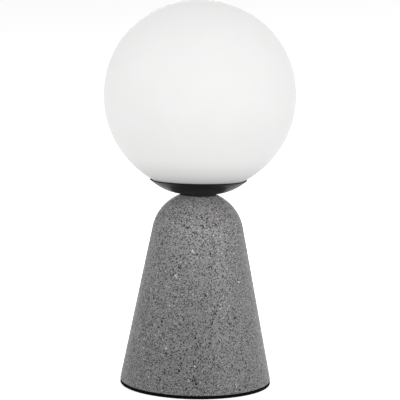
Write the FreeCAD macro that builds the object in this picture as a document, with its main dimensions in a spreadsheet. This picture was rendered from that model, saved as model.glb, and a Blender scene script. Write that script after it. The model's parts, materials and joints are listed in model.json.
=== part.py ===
"""Table lamp: an opal glass globe in a black steel saucer, on a cast terrazzo base shaped as a domed cone.

One hollow threaded tube on the lamp's axis holds everything above the base. A nut in the base's cavity
and a nut in the saucer clamp the terrazzo, the neck gasket and the saucer between them. Above the saucer
the tube carries the three-armed gallery with the spring clips that hold the globe, and then the
lampholder with its plug-in capsule bulb. The origin is on the floor, under the middle of the foot pad.
The front faces -Y and the cable leaves the back, along +Y. Sizes are in millimetres.
"""

import FreeCAD, Part  # noqa: E401  FreeCAD has to be imported before Part
import math
import os

import Sketcher

SIZES = {
    # glass globe
    "globe_radius": 75.0,
    "globe_wall": 2.5,
    "globe_height": 226.9,  # centre of the sphere above the floor
    "mouth_radius": 29.0,  # hole in the underside of the glass
    "mouth_round": 0.6,
    "seal_wall": 0.7,
    "seal_play": 0.08,
    "seal_radius": 28.2,
    "seal_lip_reach": 31.4,
    # foot pad and terrazzo base
    "pad_radius": 59.4,
    "pad_depth": 2.3,
    "pad_round": 0.5,
    "base_radius": 59.7,
    "base_round": 1.2,
    "dome_radius": 36.6,
    "dome_height": 116.2,  # centre of the domed top above the floor
    "top_height": 149.3,
    "top_round": 0.8,
    "bore_radius": 5.4,
    "recess_radius": 46.0,
    "recess_height": 5.3,
    "cavity_radius": 36.0,
    "cavity_top_radius": 17.0,
    "cavity_height": 117.0,
    # bottom plate and its fasteners
    "plate_radius": 45.6,
    "plate_depth": 2.0,
    "plate_screw_circle": 41.0,  # radius of the circle through the screws
    "insert_radius": 3.0,
    "insert_length": 10.0,
    "insert_groove_foot": 4.0,
    "insert_groove_width": 2.0,
    "insert_groove_depth": 0.5,
    "screw_radius": 1.95,
    "screw_head_radius": 3.8,
    "screw_length": 9.0,
    "drive_radius": 1.15,
    "drive_depth": 1.2,
    # cable gland in the back wall
    "gland_height": 16.0,
    "gland_face": 55.0,  # spot face in the outside of the wall
    "gland_inner_face": 39.5,  # spot face in the cavity's wall
    "gland_spot_radius": 8.6,
    "gland_inner_spot_radius": 9.0,
    "gland_flange_radius": 8.0,
    "gland_flange": 2.0,
    "gland_round": 0.8,
    "gland_radius": 5.0,
    "gland_length": 21.5,
    "gland_bore": 4.2,
    "gland_nut_depth": 4.0,
    "cord_bore": 3.2,
    "cord_seal_length": 14.0,
    "cord_seal_taper": 0.3,
    "cord_seal_lip": 0.8,
    "cord_seal_lip_radius": 5.2,
    # threaded tube and the nuts on it
    "tube_radius": 5.0,
    "tube_bore": 4.0,
    "tube_foot": 106.6,
    "tube_top": 192.5,
    "nut_flats": 14.0,
    "nut_face_radius": 6.6,
    "nut_bevel_rise": 0.65,
    "nut_depth": 4.0,
    "lower_nut_depth": 5.0,
    "lock_washer_depth": 0.8,
    "lock_washer_radius": 9.0,
    "tooth_depth": 1.6,
    "tooth_gap": 1.5,
    "clamp_washer_radius": 13.0,
    "clamp_washer_depth": 1.6,
    "bush_bore": 3.2,
    "bush_flange": 0.8,
    "bush_flange_radius": 5.6,
    "bush_length": 5.0,
    # neck gasket and saucer
    "neck_radius": 14.4,
    "neck_depth": 1.0,
    "saucer_flat_radius": 10.2,
    "saucer_rim_height": 161.4,
    "saucer_bow": 41.1,  # radius of the section outside
    "saucer_wall": 0.7,
    "saucer_washer_radius": 8.9,
    "saucer_washer_depth": 1.2,
    "seat_inner_radius": 32.6,
    "seat_outer_radius": 35.2,
    "seat_play": 0.1,
    # gallery with its spring clips
    "gallery_depth": 1.2,
    "gallery_hub_radius": 12.0,
    "gallery_reach": 25.4,
    "arm_width": 10.0,
    "clip_width": 8.0,
    "clip_gauge": 0.5,
    "clip_foot": 13.6,
    "clip_back": 25.0,
    "clip_leg_rise": 2.0,
    "clip_waist_radius": 27.2,
    "clip_waist_rise": 3.4,
    "clip_nose_radius": 30.6,
    "clip_nose_rise": 5.6,
    "clip_nose_height": 1.2,
    "clip_tip_radius": 26.2,
    "clip_tip_rise": 13.5,
    "rivet_inner": 16.4,
    "rivet_outer": 21.6,
    "rivet_radius": 1.2,
    "rivet_head_radius": 2.2,
    "rivet_head": 0.8,
    "rivet_bevel": 0.6,
    # lampholder
    "sleeve_radius": 6.6,
    "sleeve_bore": 5.4,
    "cup_floor_height": 185.0,
    "cup_floor": 1.0,
    "cup_radius": 14.0,
    "cup_wall": 0.8,
    "cup_round": 0.9,
    "cup_top": 214.0,
    "bracket_gauge": 1.0,
    "bracket_width": 8.0,
    "bracket_half_span": 11.5,
    "bracket_hub_radius": 9.5,
    "bracket_flange_end": 6.2,
    "bracket_top": 200.0,
    "holder_radius": 12.6,
    "holder_top": 216.0,
    "holder_screw_place": 8.6,
    "holder_screw_radius": 1.45,
    "holder_screw_head_radius": 2.7,
    "holder_screw_head": 2.0,
    "holder_screw_sink": 4.0,
    "holder_screw_tip": 198.0,
    "pin_place": 4.5,  # half the distance between the two pins
    "slot_length": 4.8,
    "slot_width": 2.6,
    "slot_foot": 202.5,
    "contact_width": 3.4,
    "contact_half": 1.2,
    "contact_gauge": 0.35,
    "contact_top": 213.0,
    "lead_radius": 0.85,
    "lead_hole": 1.1,
    "lead_place": 1.5,  # from the tube's axis to each lead
    "lead_entry": 5.0,  # how far each lead goes into the terminal block
    "lead_bow": 6.0,  # how far the leads stand out from the block before they rise
    "lead_stop": 0.4,  # gap between a lead's end and its contact
    # capsule bulb
    "bulb_foot": 216.2,
    "bulb_block_length": 15.0,
    "bulb_block_width": 7.6,
    "bulb_block_top": 221.6,
    "bulb_base_top": 227.0,
    "bulb_radius": 8.2,
    "bulb_wall": 0.8,
    "bulb_top": 258.0,
    "bulb_shoulder": 6.5,  # radius of the round at the top of the envelope
    "pin_wire": 0.35,
    "pin_half_width": 1.3,
    "pin_depth": 12.0,
    "pin_root": 1.6,
    "board_width": 9.0,
    "board_gauge": 1.0,
    "board_top": 250.0,
    "chip_size": 2.8,
    "chip_gauge": 0.7,
    "chip_pitch": 5.0,
    "chip_first": 231.0,
    # terminal block on the bottom plate
    "block_length": 20.0,
    "block_width": 16.0,
    "block_depth": 13.0,
    "block_place": 2.0,
    "block_round": 1.2,
    "pole_place": 5.6,
    "pole_height": 5.2,
    "clamp_radius": 2.5,
    "clamp_bore": 1.6,
    "clamp_length": 14.0,
    "clamp_screw_place": 4.0,
    "clamp_screw_radius": 1.3,
    "clamp_screw_head_radius": 1.7,
    "clamp_screw_head": 2.0,
    "clamp_screw_top": 11.8,
    "block_screw_radius": 1.45,
    "block_screw_head_radius": 2.6,
    "block_screw_head": 1.8,
    "block_web": 4.0,  # plastic under the head of the block's fixing screw
    "driver_slot_width": 0.6,
    "driver_slot_depth": 0.7,
    # fits
    "fit_gap": 0.03,  # between pieces that are fixed in each other
    "thread_play": 0.06,
    "hole_play": 0.15,
    "overrun": 1.0,  # how far a cutting tool runs past the face it cuts
}

CLIP_COUNT = 3
CLIP_TURN = 30.0
PLATE_SCREW_COUNT = 3
PLATE_SCREW_TURN = 30.0
TOOTH_COUNT = 12
CHIPS_PER_FACE = 4
SIDES = (-1, 1)
TOLERANCE = 1e-4
VOLUME_SLACK = 0.02
BEND_SHARE = 0.45  # how much of the shorter run beside a corner its bend takes up

SAUCER_FLOOR = "top_height + neck_depth + saucer_wall"
GALLERY_FOOT = f"{SAUCER_FLOOR} + saucer_washer_depth + nut_depth"
GALLERY_TOP = f"{GALLERY_FOOT} + gallery_depth"
GALLERY_NUT_FOOT = f"{GALLERY_TOP} + lock_washer_depth"
PLATE_FOOT = "recess_height - plate_depth"

V = FreeCAD.Vector
Z = V(0, 0, 1)
TO_BACK = {"turn": -90.0, "about": V(1, 0, 0)}
DOC = FreeCAD.newDocument("table_lamp")
SUBPARTS = []


# ---------------------------------------------------------------- helpers


def make_sheet():
    """The spreadsheet that holds every driving dimension under its own alias."""
    sheet = DOC.addObject("Spreadsheet::Sheet", "Sizes")
    for row, (alias, value) in enumerate(SIZES.items(), start=1):
        sheet.set(f"A{row}", alias)
        sheet.set(f"B{row}", str(value))
        sheet.setAlias(f"B{row}", alias)
    DOC.recompute()
    return sheet


SHEET = make_sheet()


def formula(text):
    """A formula with the sheet's name put before each alias in it."""
    words = []
    for word in text.split():
        bare = word.strip("()")
        words.append(word.replace(bare, f"Sizes.{bare}") if bare in SIZES else word)
    return " ".join(words)


def value_of(text):
    """What a formula comes to now, as a plain number."""
    return float(SHEET.evalExpression(formula(text)))


def bind(item, **formulas):
    """Bind properties of an object to formulas of the sheet's cells."""
    for name, text in formulas.items():
        item.setExpression(name, formula(text))


def keep(item, label):
    """Take an object as a finished sub-part, under the name of its node."""
    item.Label = label
    SUBPARTS.append(item)
    return item


def place(item, x="0", y="0", z="0", turn=0.0, about=Z):
    """Set an object's placement: its position by formulas, and its turn in degrees."""
    position = V(value_of(x), value_of(y), value_of(z))
    item.Placement = FreeCAD.Placement(position, FreeCAD.Rotation(about, turn))
    for axis, text in (("x", x), ("y", y), ("z", z)):
        if text != "0":
            item.setExpression(f".Placement.Base.{axis}", formula(text))
    return item


def new_body(name, several=False):
    body = DOC.addObject("PartDesign::Body", name)
    body.AllowCompound = several
    return body


def origin_part(body, role):
    return next(part for part in body.Origin.OriginFeatures if part.Role == role)


class Outline:
    """A closed outline in a sketch, whose corners and arcs are bound to the sheet.

    A corner is a pair of coordinates. A coordinate given as text is a formula that the sketch is bound to.
    One given as a number is only where the solver starts, and the arc beside it settles the coordinate.
    """

    def __init__(self, body, plane="XZ_Plane", name="profile"):
        self.sketch = body.newObject("Sketcher::SketchObject", name)
        self.sketch.AttachmentSupport = [(origin_part(body, plane), "")]
        self.sketch.MapMode = "FlatFace"

    def tie(self, kind, geometry, point, text):
        """Hold one coordinate of a point, from the sketch's origin, to a formula."""
        level = value_of(text)
        if abs(level) < TOLERANCE:
            axis = -2 if kind == "DistanceX" else -1
            self.sketch.addConstraint(Sketcher.Constraint("PointOnObject", geometry, point, axis))
            return
        text = text if level > 0 else f"0 - ({text})"
        ends = (-1, 1, geometry, point) if level > 0 else (geometry, point, -1, 1)
        number = self.sketch.addConstraint(Sketcher.Constraint(kind, *ends, abs(level)))
        self.sketch.setExpression(f"Constraints[{number}]", formula(text))

    def size(self, kind, geometry, text):
        number = self.sketch.addConstraint(Sketcher.Constraint(kind, geometry, value_of(text)))
        self.sketch.setExpression(f"Constraints[{number}]", formula(text))

    def draw(self, corners, arcs=None):
        """Draw the loop. arcs maps a corner's number to the arc that leaves it.

        An arc is (centre, radius, turns, joins). turns is 1 for an arc that runs anticlockwise and
        -1 for clockwise, and joins is True where the arc is tangent to the line after it.
        """
        arcs = arcs or {}
        spots = [tuple(value_of(c) if isinstance(c, str) else c for c in corner) for corner in corners]
        ends, count = [], len(corners)
        for i in range(count):
            start, stop = V(*spots[i], 0), V(*spots[(i + 1) % count], 0)
            if i in arcs:
                ends.append(self.add_arc(start, stop, arcs[i]))
            else:
                ends.append((self.sketch.addGeometry(Part.LineSegment(start, stop)), 1, 2))
        for i, (geometry, first, last) in enumerate(ends):
            after, after_first, _ = ends[(i + 1) % count]
            joined = i in arcs and arcs[i][3]
            kind = "Tangent" if joined else "Coincident"
            self.sketch.addConstraint(Sketcher.Constraint(kind, geometry, last, after, after_first))
            for axis, coordinate in zip(("DistanceX", "DistanceY"), corners[i]):
                if isinstance(coordinate, str):
                    self.tie(axis, geometry, first, coordinate)
        for i, (centre, radius, _, _) in arcs.items():
            geometry = ends[i][0]
            self.size("Radius", geometry, radius)
            if centre:
                self.tie("DistanceX", geometry, 3, centre[0])
                self.tie("DistanceY", geometry, 3, centre[1])
        return self

    def add_arc(self, start, stop, arc):
        """Add the arc from start to stop. Returns its number and which of its ends come first and last."""
        centre, radius, turns, _ = arc
        reach = value_of(radius)
        if centre:
            middle = V(value_of(centre[0]), value_of(centre[1]), 0)
        else:
            chord = stop - start
            rise = math.sqrt(max(reach**2 - (chord.Length / 2) ** 2, 0.0))
            middle = (start + stop) / 2 + V(-chord.y, chord.x, 0).normalize() * rise * turns
        angles = [math.atan2(p.y - middle.y, p.x - middle.x) for p in (start, stop)]
        if turns < 0:
            angles.reverse()
        if angles[1] <= angles[0]:
            angles[1] += 2 * math.pi
        circle = Part.Circle(middle, Z, reach)
        number = self.sketch.addGeometry(Part.ArcOfCircle(circle, *angles))
        return (number, 1, 2) if turns > 0 else (number, 2, 1)

    def strip(self, points, gauge):
        """Draw bent sheet seen edge on: one side through the points, the other at the gauge to its right."""
        spots = [V(value_of(x), value_of(y), 0) for x, y in points]
        reach = value_of(gauge)
        ways = [(b - a).normalize() for a, b in zip(spots, spots[1:])]
        sides = [V(way.y, -way.x, 0) for way in ways]
        inner = [spots[0] + sides[0] * reach]
        for spot, before, after in zip(spots[1:], sides, sides[1:]):
            inner.append(spot + (before + after) * (reach / (1 + before.dot(after))))
        inner.append(spots[-1] + sides[-1] * reach)
        add = self.sketch.addGeometry
        fix = self.sketch.addConstraint
        face = [add(Part.LineSegment(a, b)) for a, b in zip(spots, spots[1:])]
        back = [add(Part.LineSegment(a, b)) for a, b in zip(inner, inner[1:])]
        for lines in (face, back):
            for before, after in zip(lines, lines[1:]):
                fix(Sketcher.Constraint("Coincident", before, 2, after, 1))
        for point, start, stop, line in ((1, spots[0], inner[0], 0), (2, spots[-1], inner[-1], -1)):
            cap = add(Part.LineSegment(start, stop))
            fix(Sketcher.Constraint("Coincident", face[line], point, cap, 1))
            fix(Sketcher.Constraint("Coincident", back[line], point, cap, 2))
            fix(Sketcher.Constraint("Perpendicular", cap, face[line]))
        for line, (x, y) in zip(face, points):
            self.tie("DistanceX", line, 1, x)
            self.tie("DistanceY", line, 1, y)
        self.tie("DistanceX", face[-1], 2, points[-1][0])
        self.tie("DistanceY", face[-1], 2, points[-1][1])
        for line, other in zip(face, back):
            fix(Sketcher.Constraint("Parallel", line, other))
            number = fix(Sketcher.Constraint("Distance", other, 1, line, reach))
            self.sketch.setExpression(f"Constraints[{number}]", formula(gauge))
        return self

    def spin_line(self, x):
        """A construction line parallel to the upright axis, for a piece turned about a line of its own."""
        where = value_of(x)
        number = self.sketch.addGeometry(Part.LineSegment(V(where, 0, 0), V(where, 1, 0)), True)
        self.sketch.addConstraint(Sketcher.Constraint("Vertical", number))
        self.tie("DistanceX", number, 1, x)
        self.tie("DistanceY", number, 1, "0")
        length = self.sketch.addConstraint(Sketcher.Constraint("DistanceY", number, 1, number, 2, 1.0))
        self.sketch.renameConstraint(length, "axis_length")
        return self


def revolve(body, outline, axis="V_Axis"):
    feature = body.newObject("PartDesign::Revolution", "turned")
    feature.Profile = outline.sketch
    feature.ReferenceAxis = (outline.sketch, [axis])
    feature.Angle = 360
    DOC.recompute()
    return feature


def pad(body, outline, length, centred=False):
    feature = body.newObject("PartDesign::Pad", "pad")
    feature.Profile = outline.sketch
    feature.SideType = "Symmetric" if centred else "One side"
    bind(feature, Length=length)
    DOC.recompute()
    return feature


def pattern(body, feature, count):
    """Repeat a feature evenly round the upright axis."""
    ring = body.newObject("PartDesign::PolarPattern", "ring")
    ring.Originals = [feature]
    ring.Axis = (origin_part(body, "Z_Axis"), [""])
    ring.Angle = 360
    ring.Occurrences = count
    body.Tip = ring
    DOC.recompute()
    return ring


def ring_edges(feature, height, radius=None):
    """The circular edges of a feature at a height: the one of a given radius, or else the widest."""
    level, found = value_of(height), []
    for number, edge in enumerate(feature.Shape.Edges, start=1):
        if edge.Degenerated or not isinstance(edge.Curve, Part.Circle):
            continue
        if abs(edge.Curve.Center.z - level) < TOLERANCE:
            found.append((edge.Curve.Radius, f"Edge{number}"))
    if radius:
        found = [pair for pair in found if abs(pair[0] - value_of(radius)) < TOLERANCE]
    return [max(found)[1]]


def round_off(body, feature, names, radius):
    """Fillet the named edges of a feature."""
    fillet = body.newObject("PartDesign::Fillet", "rounded")
    fillet.Base = (feature, names)
    bind(fillet, Radius=radius)
    DOC.recompute()
    return fillet


def cylinder(radius, foot, top, x="0", y="0"):
    """An upright cylinder between two levels."""
    item = DOC.addObject("Part::Cylinder", "cylinder")
    bind(item, Radius=radius, Height=f"{top} - ({foot})")
    return place(item, x, y, foot)


def cylinder_back(radius, near, far, x="0", z="0"):
    """A level cylinder that points to the back, between two places along Y."""
    item = DOC.addObject("Part::Cylinder", "cylinder")
    bind(item, Radius=radius, Height=f"{far} - ({near})")
    return place(item, x, near, z, **TO_BACK)


def around(ring, count, turn):
    """Formulas for the places of a number of things evenly round a circle, the first at a turn in degrees."""
    for i in range(count):
        angle = math.radians(turn + i * 360.0 / count)
        yield f"{ring} * {math.cos(angle):.9f}", f"{ring} * {math.sin(angle):.9f}"


def box(length, width, foot, top, x="0", y="0"):
    """An upright box between two levels, centred on its place."""
    item = DOC.addObject("Part::Box", "box")
    bind(item, Length=length, Width=width, Height=f"{top} - ({foot})")
    return place(item, f"{x} - ({length}) / 2", f"{y} - ({width}) / 2", foot)


def cut(base, *tools):
    tool = tools[0] if len(tools) == 1 else fuse(*tools)
    item = DOC.addObject("Part::Cut", "cut")
    item.Base, item.Tool = base, tool
    return item


def fuse(*items):
    item = DOC.addObject("Part::MultiFuse", "fuse")
    item.Shapes = list(items)
    return item


def group(*items):
    """Separate solids that are one node."""
    item = DOC.addObject("Part::Compound", "group")
    item.Links = list(items)
    return item


def tube(label, outer, inner, foot, top):
    """A plain ring, washer or sleeve about the lamp's axis."""
    body = new_body(label)
    revolve(body, Outline(body).draw([(inner, foot), (outer, foot), (outer, top), (inner, top)]))
    return keep(body, label)


def hex_nut(label, foot, depth, bore):
    """A hexagon nut about the lamp's axis, with its corners turned off at both ends."""
    corner = "nut_flats / 2 / cos(30)"
    prism = DOC.addObject("Part::Prism", "prism")
    prism.Polygon = 6
    bind(prism, Circumradius=corner, Height=depth)
    place(prism, z=foot)
    body = new_body("nut_turning")
    outline = Outline(body)
    outline.draw(
        [
            (bore, foot),
            ("nut_face_radius", foot),
            (corner, f"{foot} + nut_bevel_rise"),
            (corner, f"{foot} + {depth} - nut_bevel_rise"),
            ("nut_face_radius", f"{foot} + {depth}"),
            (bore, f"{foot} + {depth}"),
        ]
    )
    revolve(body, outline)
    common = DOC.addObject("Part::MultiCommon", "common")
    common.Shapes = [prism, body]
    return keep(common, label)


# ---------------------------------------------------------------- base


def make_foot_pad():
    """The foam disc under the base."""
    body = new_body("base_pad")
    corners = [("0", "0"), ("pad_radius", "0"), ("pad_radius", "pad_depth"), ("0", "pad_depth")]
    turned = revolve(body, Outline(body).draw(corners))
    round_off(body, turned, ring_edges(turned, "0"), "pad_round")
    keep(body, "base_pad")


def make_terrazzo_base():
    """The cast base: a cone that runs tangent into a domed top with a small flat on it, hollow from below."""
    body = new_body("casting")
    foot, rise, dome = (value_of(t) for t in ("base_radius", "dome_height - pad_depth", "dome_radius"))
    tangent = math.acos(dome / math.hypot(foot, rise)) - math.atan2(rise, foot)
    crown = math.sqrt(dome**2 - value_of("top_height - dome_height") ** 2)
    outline = Outline(body)
    outline.draw(
        [
            ("bore_radius", "top_height"),
            (crown, "top_height"),
            (dome * math.cos(tangent), value_of("dome_height") + dome * math.sin(tangent)),
            ("base_radius", "pad_depth"),
            ("recess_radius", "pad_depth"),
            ("recess_radius", "recess_height"),
            ("cavity_radius", "recess_height"),
            ("cavity_top_radius", "cavity_height"),
            ("bore_radius", "cavity_height"),
        ],
        {1: (("0", "dome_height"), "dome_radius", -1, True)},
    )
    turned = revolve(body, outline)
    lower = round_off(body, turned, ring_edges(turned, "pad_depth"), "base_round")
    round_off(body, lower, ring_edges(lower, "top_height"), "top_round")

    hole = cylinder_back("gland_radius + hole_play", "0", "base_radius", z="gland_height")
    outer_spot = cylinder_back("gland_spot_radius", "gland_face", "base_radius + overrun", z="gland_height")
    inner_spot = cylinder_back("gland_inner_spot_radius", "0", "gland_inner_face", z="gland_height")
    seats = [
        cylinder("insert_radius", "recess_height", "recess_height + insert_length", x, y)
        for x, y in around("plate_screw_circle", PLATE_SCREW_COUNT, PLATE_SCREW_TURN)
    ]
    keep(cut(body, hole, outer_spot, inner_spot, *seats), "terrazzo_base")


def make_bottom_plate():
    """The steel lid of the cavity, with countersunk screw holes and a tapped hole for the terminal block."""
    low, high = f"{PLATE_FOOT} - overrun", "recess_height + overrun"
    hole = "screw_radius + hole_play"
    tools = [cylinder("block_screw_radius", low, high, y="block_place")]
    for x, y in around("plate_screw_circle", PLATE_SCREW_COUNT, PLATE_SCREW_TURN):
        tools.append(cylinder(hole, low, high, x, y))
        sink = DOC.addObject("Part::Cone", "countersink")
        bind(sink, Radius1="screw_head_radius + hole_play", Radius2=hole, Height="plate_depth")
        tools.append(place(sink, x, y, PLATE_FOOT))
    keep(cut(cylinder("plate_radius", PLATE_FOOT, "recess_height"), *tools), "bottom_plate")


def make_plate_screws():
    """Countersunk screws in brass inserts that are cast into the terrazzo."""
    axis = "plate_screw_circle"
    shank, floor = f"{axis} + screw_radius", f"{PLATE_FOOT} + drive_depth"
    screw = [
        (axis, floor),
        (f"{axis} + drive_radius", floor),
        (f"{axis} + drive_radius", PLATE_FOOT),
        (f"{axis} + screw_head_radius", PLATE_FOOT),
        (shank, "recess_height"),
        (shank, f"{PLATE_FOOT} + screw_length"),
        (axis, f"{PLATE_FOOT} + screw_length"),
    ]
    bore, skin = f"{axis} + screw_radius + thread_play", f"{axis} + insert_radius - fit_gap"
    foot, top = "recess_height + fit_gap", "recess_height + insert_length - fit_gap"
    groove = "recess_height + insert_groove_foot"
    insert = [
        (bore, foot),
        (skin, foot),
        (skin, groove),
        (f"{skin} - insert_groove_depth", f"{groove} + insert_groove_depth"),
        (f"{skin} - insert_groove_depth", f"{groove} + insert_groove_width - insert_groove_depth"),
        (skin, f"{groove} + insert_groove_width"),
        (skin, top),
        (bore, top),
    ]
    for label, corners in (("plate_screws", screw), ("plate_inserts", insert)):
        body = new_body(label, several=True)
        outline = Outline(body).draw(corners).spin_line(axis)
        pattern(body, revolve(body, outline, "Axis0"), PLATE_SCREW_COUNT)
        keep(place(body, turn=PLATE_SCREW_TURN), label)


def make_cable_gland():
    """The flanged gland in the back wall, its nut in the cavity, and the rubber seal that the cord passes."""
    gland = new_body("gland")
    face = "gland_face + gland_flange"
    outline = Outline(gland)
    outline.draw(
        [
            ("gland_bore", face),
            ("gland_bore", f"{face} - gland_length"),
            ("gland_radius", f"{face} - gland_length"),
            ("gland_radius", "gland_face"),
            ("gland_flange_radius", "gland_face"),
            ("gland_flange_radius", face),
        ]
    )
    turned = revolve(gland, outline)
    round_off(gland, turned, ring_edges(turned, face), "gland_round")
    keep(place(gland, z="gland_height", **TO_BACK), "cable_gland")

    foot = "gland_inner_face - gland_nut_depth"
    nut = hex_nut("gland_nut", foot, "gland_nut_depth", "gland_radius + thread_play")
    place(nut, z="gland_height", **TO_BACK)

    seal = new_body("seal")
    outline = Outline(seal)
    outline.draw(
        [
            ("cord_bore", f"{face} - cord_seal_length"),
            ("gland_bore - fit_gap", f"{face} - cord_seal_length"),
            ("gland_bore - fit_gap", f"{face} + fit_gap"),
            ("cord_seal_lip_radius", f"{face} + fit_gap"),
            ("cord_seal_lip_radius - cord_seal_taper", f"{face} + cord_seal_lip"),
            ("cord_bore", f"{face} + cord_seal_lip"),
        ]
    )
    revolve(seal, outline)
    keep(place(seal, z="gland_height", **TO_BACK), "gland_seal")


# ---------------------------------------------------------------- wiring


def slotted_screw(radius, head_radius, tip, seat, head, x="0", y="0"):
    """A cheese-head screw with a driver's slot: its shank from tip to seat and its head above the seat."""
    top = f"{seat} + {head}"
    body = fuse(cylinder(radius, tip, seat, x, y), cylinder(head_radius, seat, top, x, y))
    across = f"{head_radius} * 2 + overrun"
    slot = box(across, "driver_slot_width", f"{top} - driver_slot_depth", f"{top} + overrun", x, y)
    return cut(body, slot)


def make_terminal_block():
    """The two-pole block that joins the supply cord to the lampholder's leads, on the bottom plate."""
    blank = new_body("blank")
    half_x, half_y = "block_length / 2", "block_width / 2"
    low, high = f"block_place - {half_y}", f"block_place + {half_y}"
    corners = [(f"0 - {half_x}", low), (half_x, low), (half_x, high), (f"0 - {half_x}", high)]
    slab = pad(blank, Outline(blank, "XY_Plane").draw(corners), "block_depth")
    top = value_of("block_depth") - TOLERANCE
    upper = [f"Edge{n}" for n, edge in enumerate(slab.Shape.Edges, 1) if edge.BoundBox.ZMin > top]
    round_off(blank, slab, upper, "block_round")
    place(blank, z="recess_height")

    pole = "recess_height + pole_height"
    above = "recess_height + block_depth + overrun"
    before, behind = f"{low} - overrun", f"{high} + overrun"
    near, far = "block_place - clamp_length / 2", "block_place + clamp_length / 2"
    tools, clamps, screws = [], [], []
    for side in SIDES:
        x = f"{side} * pole_place"
        tools.append(cylinder_back("clamp_radius + fit_gap", before, behind, x, pole))
        taps = [cylinder_back("clamp_bore", f"{near} - overrun", f"{far} + overrun", x, pole)]
        for end in SIDES:
            y = f"block_place + {end} * clamp_screw_place"
            seat = "recess_height + clamp_screw_top - clamp_screw_head"
            tools.append(cylinder("clamp_screw_head_radius + hole_play", pole, above, x, y))
            taps.append(cylinder("clamp_screw_radius + fit_gap", pole, above, x, y))
            tip = f"{pole} + clamp_radius / 2"
            sizes = ("clamp_screw_radius", "clamp_screw_head_radius", tip, seat, "clamp_screw_head")
            screws.append(slotted_screw(*sizes, x, y))
        clamps.append(cut(cylinder_back("clamp_radius", near, far, x, pole), *taps))
    seat, below = "recess_height + block_web", "recess_height - overrun"
    tools.append(cylinder("block_screw_radius + hole_play", below, above, y="block_place"))
    tools.append(cylinder("block_screw_head_radius + hole_play", seat, above, y="block_place"))
    keep(cut(blank, *tools), "terminal_block")
    keep(group(*clamps), "terminal_clamps")
    keep(group(*screws), "terminal_screws")
    sizes = ("block_screw_radius - fit_gap", "block_screw_head_radius", PLATE_FOOT, seat, "block_screw_head")
    keep(slotted_screw(*sizes, y="block_place"), "block_screw")


def rounded_path(points):
    """Straight runs from point to point, joined by tangent arcs as large as the runs beside them allow."""
    edges, start = [], points[0]
    for before, corner, after in zip(points, points[1:], points[2:]):
        come, leave = (corner - before), (after - corner)
        turn = come.getAngle(leave)
        back = BEND_SHARE * min(come.Length, leave.Length)
        radius = back / math.tan(turn / 2)
        come, leave = come.normalize(), leave.normalize()
        first, last = corner - come * back, corner + leave * back
        inward = (leave - come).normalize()
        middle = corner + inward * (radius / math.cos(turn / 2) - radius)
        edges += [Part.LineSegment(start, first).toShape(), Part.Arc(first, middle, last).toShape()]
        start = last
    edges.append(Part.LineSegment(start, points[-1]).toShape())
    return Part.Wire(edges)


def swept_wire(label, paths, radius):
    """A node made of round wire along each of the paths."""
    solids = []
    for path in paths:
        first = path.Edges[0]
        start, way = first.valueAt(first.FirstParameter), first.tangentAt(first.FirstParameter)
        section = Part.Wire(Part.Circle(start, way, radius).toShape())
        solid = path.makePipeShell([section], True, True)
        expected = math.pi * radius**2 * path.Length
        if abs(solid.Volume - expected) > VOLUME_SLACK * expected:
            raise ValueError(f"{label} has a volume of {solid.Volume:.2f}, not {expected:.2f}")
        solids.append(solid)
    item = DOC.addObject("Part::Feature", label)
    item.Shape = solids[0] if len(solids) == 1 else Part.makeCompound(solids)
    return keep(item, label)


def make_leads():
    """The two insulated leads, from the terminal block up through the tube to the lampholder's contacts."""
    mouth = value_of("block_place - block_width / 2")
    pole, top, foot = (value_of(t) for t in ("recess_height + pole_height", "tube_top", "tube_foot"))
    for label, side in (("lead_live", 1), ("lead_neutral", -1)):
        pole_x, pin_x, tube_x = (side * value_of(t) for t in ("pole_place", "pin_place", "lead_place"))
        points = [
            V(pole_x, mouth + value_of("lead_entry"), pole),
            V(pole_x, mouth - value_of("lead_bow"), pole),
            V(pole_x, mouth - value_of("lead_bow * 1.5"), pole + value_of("lead_bow * 3")),
            V((pole_x + tube_x) / 2, mouth, (pole + foot) / 2),
            V(tube_x, 0.0, foot - value_of("lead_bow * 1.5")),
            V(tube_x, 0.0, top + value_of("bush_flange + overrun")),
            V(pin_x, 0.0, value_of("bracket_top - bush_length / 2")),
            V(pin_x, 0.0, value_of("slot_foot - lead_stop")),
        ]
        swept_wire(label, [rounded_path(points)], value_of("lead_radius"))


# ---------------------------------------------------------------- centre column


def make_column():
    """The threaded tube with everything that is clamped on it, from the cavity up to the gallery."""
    tube("threaded_tube", "tube_radius", "tube_bore", "tube_foot", "tube_top")
    bore = "tube_radius + thread_play"

    washer_foot = "cavity_height - clamp_washer_depth"
    lock_foot = f"{washer_foot} - lock_washer_depth"
    tube("clamp_washer", "clamp_washer_radius", bore, washer_foot, "cavity_height")
    make_lock_washer("lower_lock_washer", lock_foot)
    hex_nut("lower_nut", f"{lock_foot} - lower_nut_depth", "lower_nut_depth", bore)

    nut_foot = f"{SAUCER_FLOOR} + saucer_washer_depth"
    sleeve_foot = f"{GALLERY_NUT_FOOT} + nut_depth"
    tube("neck_gasket", "neck_radius", bore, "top_height", "top_height + neck_depth")
    tube("saucer_washer", "saucer_washer_radius", bore, SAUCER_FLOOR, nut_foot)
    hex_nut("saucer_nut", nut_foot, "nut_depth", bore)
    make_lock_washer("gallery_lock_washer", GALLERY_TOP)
    hex_nut("gallery_nut", GALLERY_NUT_FOOT, "nut_depth", bore)
    tube("stem_sleeve", "sleeve_radius", "sleeve_bore", sleeve_foot, "cup_floor_height")
    make_bushes()


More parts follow.
